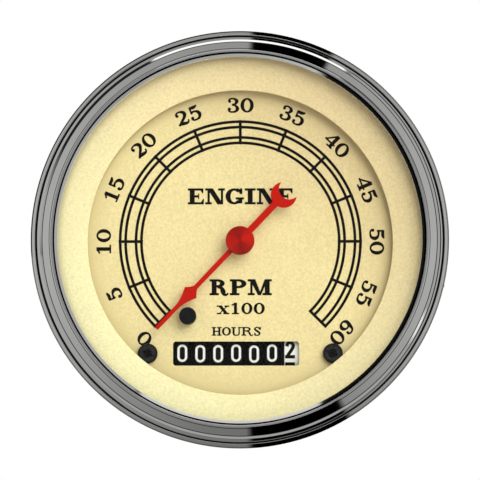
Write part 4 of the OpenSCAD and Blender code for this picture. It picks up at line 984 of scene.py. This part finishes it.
class GAUGE_OT_ring(bpy.types.Operator):
    """Turn the cream ring, whose opening sits a little low round the dial"""
    bl_idname = "gauge.ring"
    bl_label = "Dial Ring"

    def execute(self, context):
        gauge = context.scene.gauge
        d = gauge.dial
        front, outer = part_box("dial_ring")[0].y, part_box("dial_ring")[1].x
        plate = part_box("dial_plate")
        floor, foot = plate[0].y, plate[1].x - d.ring_foot
        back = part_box("case")[0].y
        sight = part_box("bezel")[1].x - gauge.bezel.face
        hole = sight - d.ring + d.ring_wide
        edge = floor - d.ring_edge
        under = edge + d.ring_wall
        flank = sight + 0.6 * MM
        toe = foot - 1.2 * MM
        ease = 0.2 * MM
        profile = np.array([
            (hole, edge + ease), (hole + 0.3 * ease, edge + 0.3 * ease), (hole + ease, edge),
            (flank, front), (outer, front), (outer, back), (flank, back),
            (foot, under - 0.7 * MM), (foot, floor), (toe, floor), (toe, under - 0.4 * MM),
            (hole, under)])
        low = d.ring_low * np.clip((flank - profile[:, 0]) / (flank - hole), 0, 1)
        piece("cream_ring", [turned(profile, lift=-low)], "ring_cream", "dial_ring",
              ["dial_ring"])
        return {"FINISHED"}


class GAUGE_OT_print(bpy.types.Operator):
    """Print the scale's figures and the dial's words"""
    bl_idname = "gauge.print"
    bl_label = "Dial Print"

    def execute(self, context):
        dial = context.scene.gauge.dial
        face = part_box("dial_plate")[0].y
        figures = serif_glyphs(23.5, 12.5, 11.5)
        last = dial.steps
        nudges = np.interp(range(last + 1), [0, 3, last - 1, last],
                           [dial.nudge, 0, 0, dial.last_nudge])
        parts = []
        for step, nudge in enumerate(nudges):
            a = dial.start - dial.sweep * step / last + nudge
            x, z = dial.figure_radius * math.cos(a), dial.figure_radius * math.sin(a)
            strokes = word(str(step * dial.figure_step), figures, dial.figure_height, 1.05)
            parts += on_dial(strokes, x, z, a - math.pi / 2, face, dial.ink_height)
        piece("scale_figures", parts, "scale_ink", "dial_print")

        bold = serif_glyphs(31, 14.5, 14)
        plain = serif_glyphs(24, 12.5, 12)
        light = serif_glyphs(21, 14, 13)
        parts = []
        for text, glyphs, height, wide, width, x, z in (
                ("ENGINE", bold, 4.53, 1.0, 29.75, 0.08, 12.73),
                ("RPM", bold, 4.53, 1.0, 17.52, 0.1, -12.92),
                ("x100", plain, 3.25, 1.12, 13.53, 0.12, -18.9),
                ("HOURS", light, 2.45, 1.13, 13.9, -1.1, -25.35)):
            strokes = word(text, glyphs, height * MM, wide, width * MM)
            parts += on_dial(strokes, x * MM, z * MM, 0.0, face, dial.ink_height)
        piece("dial_words", parts, "scale_ink", "dial_print")
        return {"FINISHED"}


class GAUGE_OT_counter(bpy.types.Operator):
    """Print ten figures on each number wheel"""
    bl_idname = "gauge.counter"
    bl_label = "Wheel Figures"

    def execute(self, context):
        c = context.scene.gauge.counter
        unit = c.height / 100
        print_ink("figure_white", c.white)
        print_ink("figure_black", context.scene.gauge.dial.ink)
        bold, ink_height, pitch = 1.45, 0.02 * MM, 2 * math.pi / 10
        for k in range(1, 8):
            stroke, first, ink, slot = c.stroke, 0, "figure_white", "wheel_white"
            slip = (0.08 + 0.15 * math.sin(2.55 * k + 3.3)) * MM
            if k == 1:
                stroke, first, ink, slot = bold * c.stroke, c.shown, "figure_black", "dial_print"
                slip = c.rise
            glyphs = counter_glyphs(c.width / unit, stroke / unit)
            pivot = JOINTS[f"wheel_{k}_spin"]["pos_m"]
            low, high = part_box(f"number_wheel_{k}")
            radius = (high.y - low.y) / 2
            parts = []
            for digit in range(10):
                strokes = [tuple(edge * unit - (c.width / 2, c.height / 2) for edge in edges)
                           for edges in glyphs[str(digit)]]
                turn = slip / radius - (digit - first) * pitch
                parts += on_wheel(strokes, pivot, radius, turn, ink_height)
            piece(f"wheel_{k}_figures", parts, ink, slot, body=f"wheel_{k}")
        return {"FINISHED"}


class GAUGE_OT_rear(bpy.types.Operator):
    """Cut the threads of the clamp studs and of the terminal studs"""
    bl_idname = "gauge.rear"
    bl_label = "Threads"

    def execute(self, context):
        rear = context.scene.gauge.rear
        studs = [
            ("clamp_threads", "bracket_studs", rear.clamp_head, (-1, 1), rear.pitch,
             "zinc_turned", "zinc_plate"),
            ("terminal_threads", "terminal_studs", rear.terminal_head, (-1, -1 / 3, 1 / 3, 1),
             rear.fine_pitch, "terminal_brass", "brass"),
        ]
        for name, node, head, places, pitch, finish, slot in studs:
            low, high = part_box(node)
            head_r = (high.z - low.z) / 2
            parts = [threaded(place * (high.x - head_r), high.z - head_r, head_r / head, head,
                              (low.y, high.y), rear.thread, pitch) for place in places]
            piece(name, parts, finish, slot, [node])
        return {"FINISHED"}


def aimed(name, data, way, distance):
    """A lamp or a camera at a distance in the direction way, turned to the gauge."""
    made = bpy.data.objects.new(name, data)
    way = np.array(way) / np.linalg.norm(way)
    made.location = way * distance
    made.rotation_euler = (math.pi / 2 - math.asin(way[2]), 0.0, math.atan2(way[0], -way[1]))
    bpy.context.scene.collection.objects.link(made)
    return made


def studio(fill):
    """A world that is white to the camera, an even fill for matt surfaces, and a grey studio
    for mirrors: dark flags at the upper and the lower right, darker zones behind the gauge and
    ahead of it, a soft box of two panes above and a small window at the right."""
    world = bpy.data.worlds.new("studio")
    tree = Tree(world)
    x, y, z = tree.axes(tree.node("TexCoord", output="Generated"))
    turn = tree.math("ARCTAN2", z, x) * (180 / math.pi)
    front = y * -1.0
    right = turn.between(-57, 60, 3.0)
    left = turn.between(156, 181, 14)
    low = turn.between(-181, -57, 4.0)
    below = turn.between(-120, -57, 4.0)
    flags = (turn.between(66, 88, 1.5) + turn.between(-88, -57, 2.0)).clamp()
    window = turn.between(-27, -18.5, 4) * front.between(0.32, 0.5, 0.08)
    panes = front.between(0.2, 0.66, 0.05) + front.between(0.73, 0.88, 0.03)
    dusk = 1 - 0.6 * (z * z) * z.between(-2, 0, 0.02) - 0.3 * (z * z) * z.between(0, 2, 0.02)
    level = 0.47 * dusk * (1 - flags) * (1 - right * y.between(0.06, 0.2, 0.04) * 0.95)
    level = level * (1 - y.between(0.38, 2, 0.06) * (0.6 + 0.35 * turn.between(60, 185, 10)))
    for mask, shown in (
            (front.between(0.2, 2, 0.08), 0.012 + (0.4 * right + 0.4 * low + 0.4 * left)),
            (front.between(0.54, 2, 0.04), 0.008 + 0.45 * right + 0.6 * below),
            (front.between(0.69, 2, 0.04), 0.008),
            (front.between(0.9, 2, 0.08), 0.3),
            (window, 0.95),
            (turn.between(61, 115, 1.5) * panes.clamp(),
             1.25 - 0.55 * front.between(0.5, 1, 0.1))):
        level = level + mask * (shown - level)
    ray = tree.node("LightPath").socket.node.outputs
    soft = fill + Value(tree, ray["Is Glossy Ray"]) * (level - fill)
    grey = tree.node("Background", [tree.node("CombineColor", [soft, soft, soft]), 1.0])
    white = tree.node("Background", [(1.0, 1.0, 1.0), 1.0])
    both = tree.node("MixShader", [Value(tree, ray["Is Camera Ray"]), grey, white])
    tree.node("OutputWorld", [both])
    return world


class GAUGE_OT_stage(bpy.types.Operator):
    """Set up the floor, the light and the camera"""
    bl_idname = "gauge.stage"
    bl_label = "Stage"

    def execute(self, context):
        scene = context.scene
        stage = scene.gauge.stage
        data = bpy.data.cameras.new("camera")
        data.lens = data.sensor_width * stage.distance / stage.view_width
        data.clip_start = 0.05
        data.clip_end = 20
        way = (math.tan(stage.azimuth), -1.0, -math.tan(stage.elevation))
        scene.camera = aimed("camera", data, way, stage.distance)
        scene.camera.location.x -= stage.aim_left
        scene.camera.location.z += stage.aim_up

        data = bpy.data.lights.new("key", "AREA")
        data.energy = stage.key
        data.size = stage.key_size
        aimed("key", data, (0.46, -0.72, 0.5), stage.key_distance).visible_glossy = False

        side = stage.floor_size / 2
        corners = [(x * side, y * side, -stage.floor_drop)
                   for x, y in ((-1, -1), (1, -1), (1, 1), (-1, 1))]
        mesh = bpy.data.meshes.new("floor")
        mesh.from_pydata(corners, [], [(0, 1, 2, 3)])
        mesh.materials.append(satin_cream("floor_pale", (0.86, 0.86, 0.85), 0.7))
        floor = bpy.data.objects.new("floor", mesh)
        scene.collection.objects.link(floor)
        floor.visible_glossy = False

        scene.world = studio(stage.fill)
        scene.view_settings.view_transform = "Standard"
        return {"FINISHED"}


class GAUGE_PT_panel(bpy.types.Panel):
    """The dressing's steps in the 3D view's sidebar"""
    bl_label = "Tachometer"
    bl_idname = "GAUGE_PT_panel"
    bl_space_type = "VIEW_3D"
    bl_region_type = "UI"
    bl_category = "Gauge"

    def draw(self, context):
        gauge = context.scene.gauge
        for group, step in STEPS:
            box = self.layout.box()
            if group:
                settings = getattr(gauge, group)
                for name in settings.__annotations__:
                    box.prop(settings, name)
            box.operator(step.bl_idname)


STEPS = [
    ("pointer", GAUGE_OT_finishes),
    ("bezel", GAUGE_OT_bezel),
    ("", GAUGE_OT_ring),
    ("dial", GAUGE_OT_print),
    ("counter", GAUGE_OT_counter),
    ("rear", GAUGE_OT_rear),
    ("stage", GAUGE_OT_stage),
]
CLASSES = [BezelSettings, DialSettings, CounterSettings, PointerSettings, RearSettings,
           StageSettings, GaugeSettings, *[step for _, step in STEPS], GAUGE_PT_panel]


def register():
    for cls in CLASSES:
        bpy.utils.register_class(cls)
    bpy.types.Scene.gauge = PointerProperty(type=GaugeSettings)


def unregister():
    del bpy.types.Scene.gauge
    for cls in reversed(CLASSES):
        bpy.utils.unregister_class(cls)


def main():
    register()
    for _, step in STEPS:
        getattr(bpy.ops.gauge, step.bl_idname.split(".")[1])()


if __name__ == "__main__":
    main()
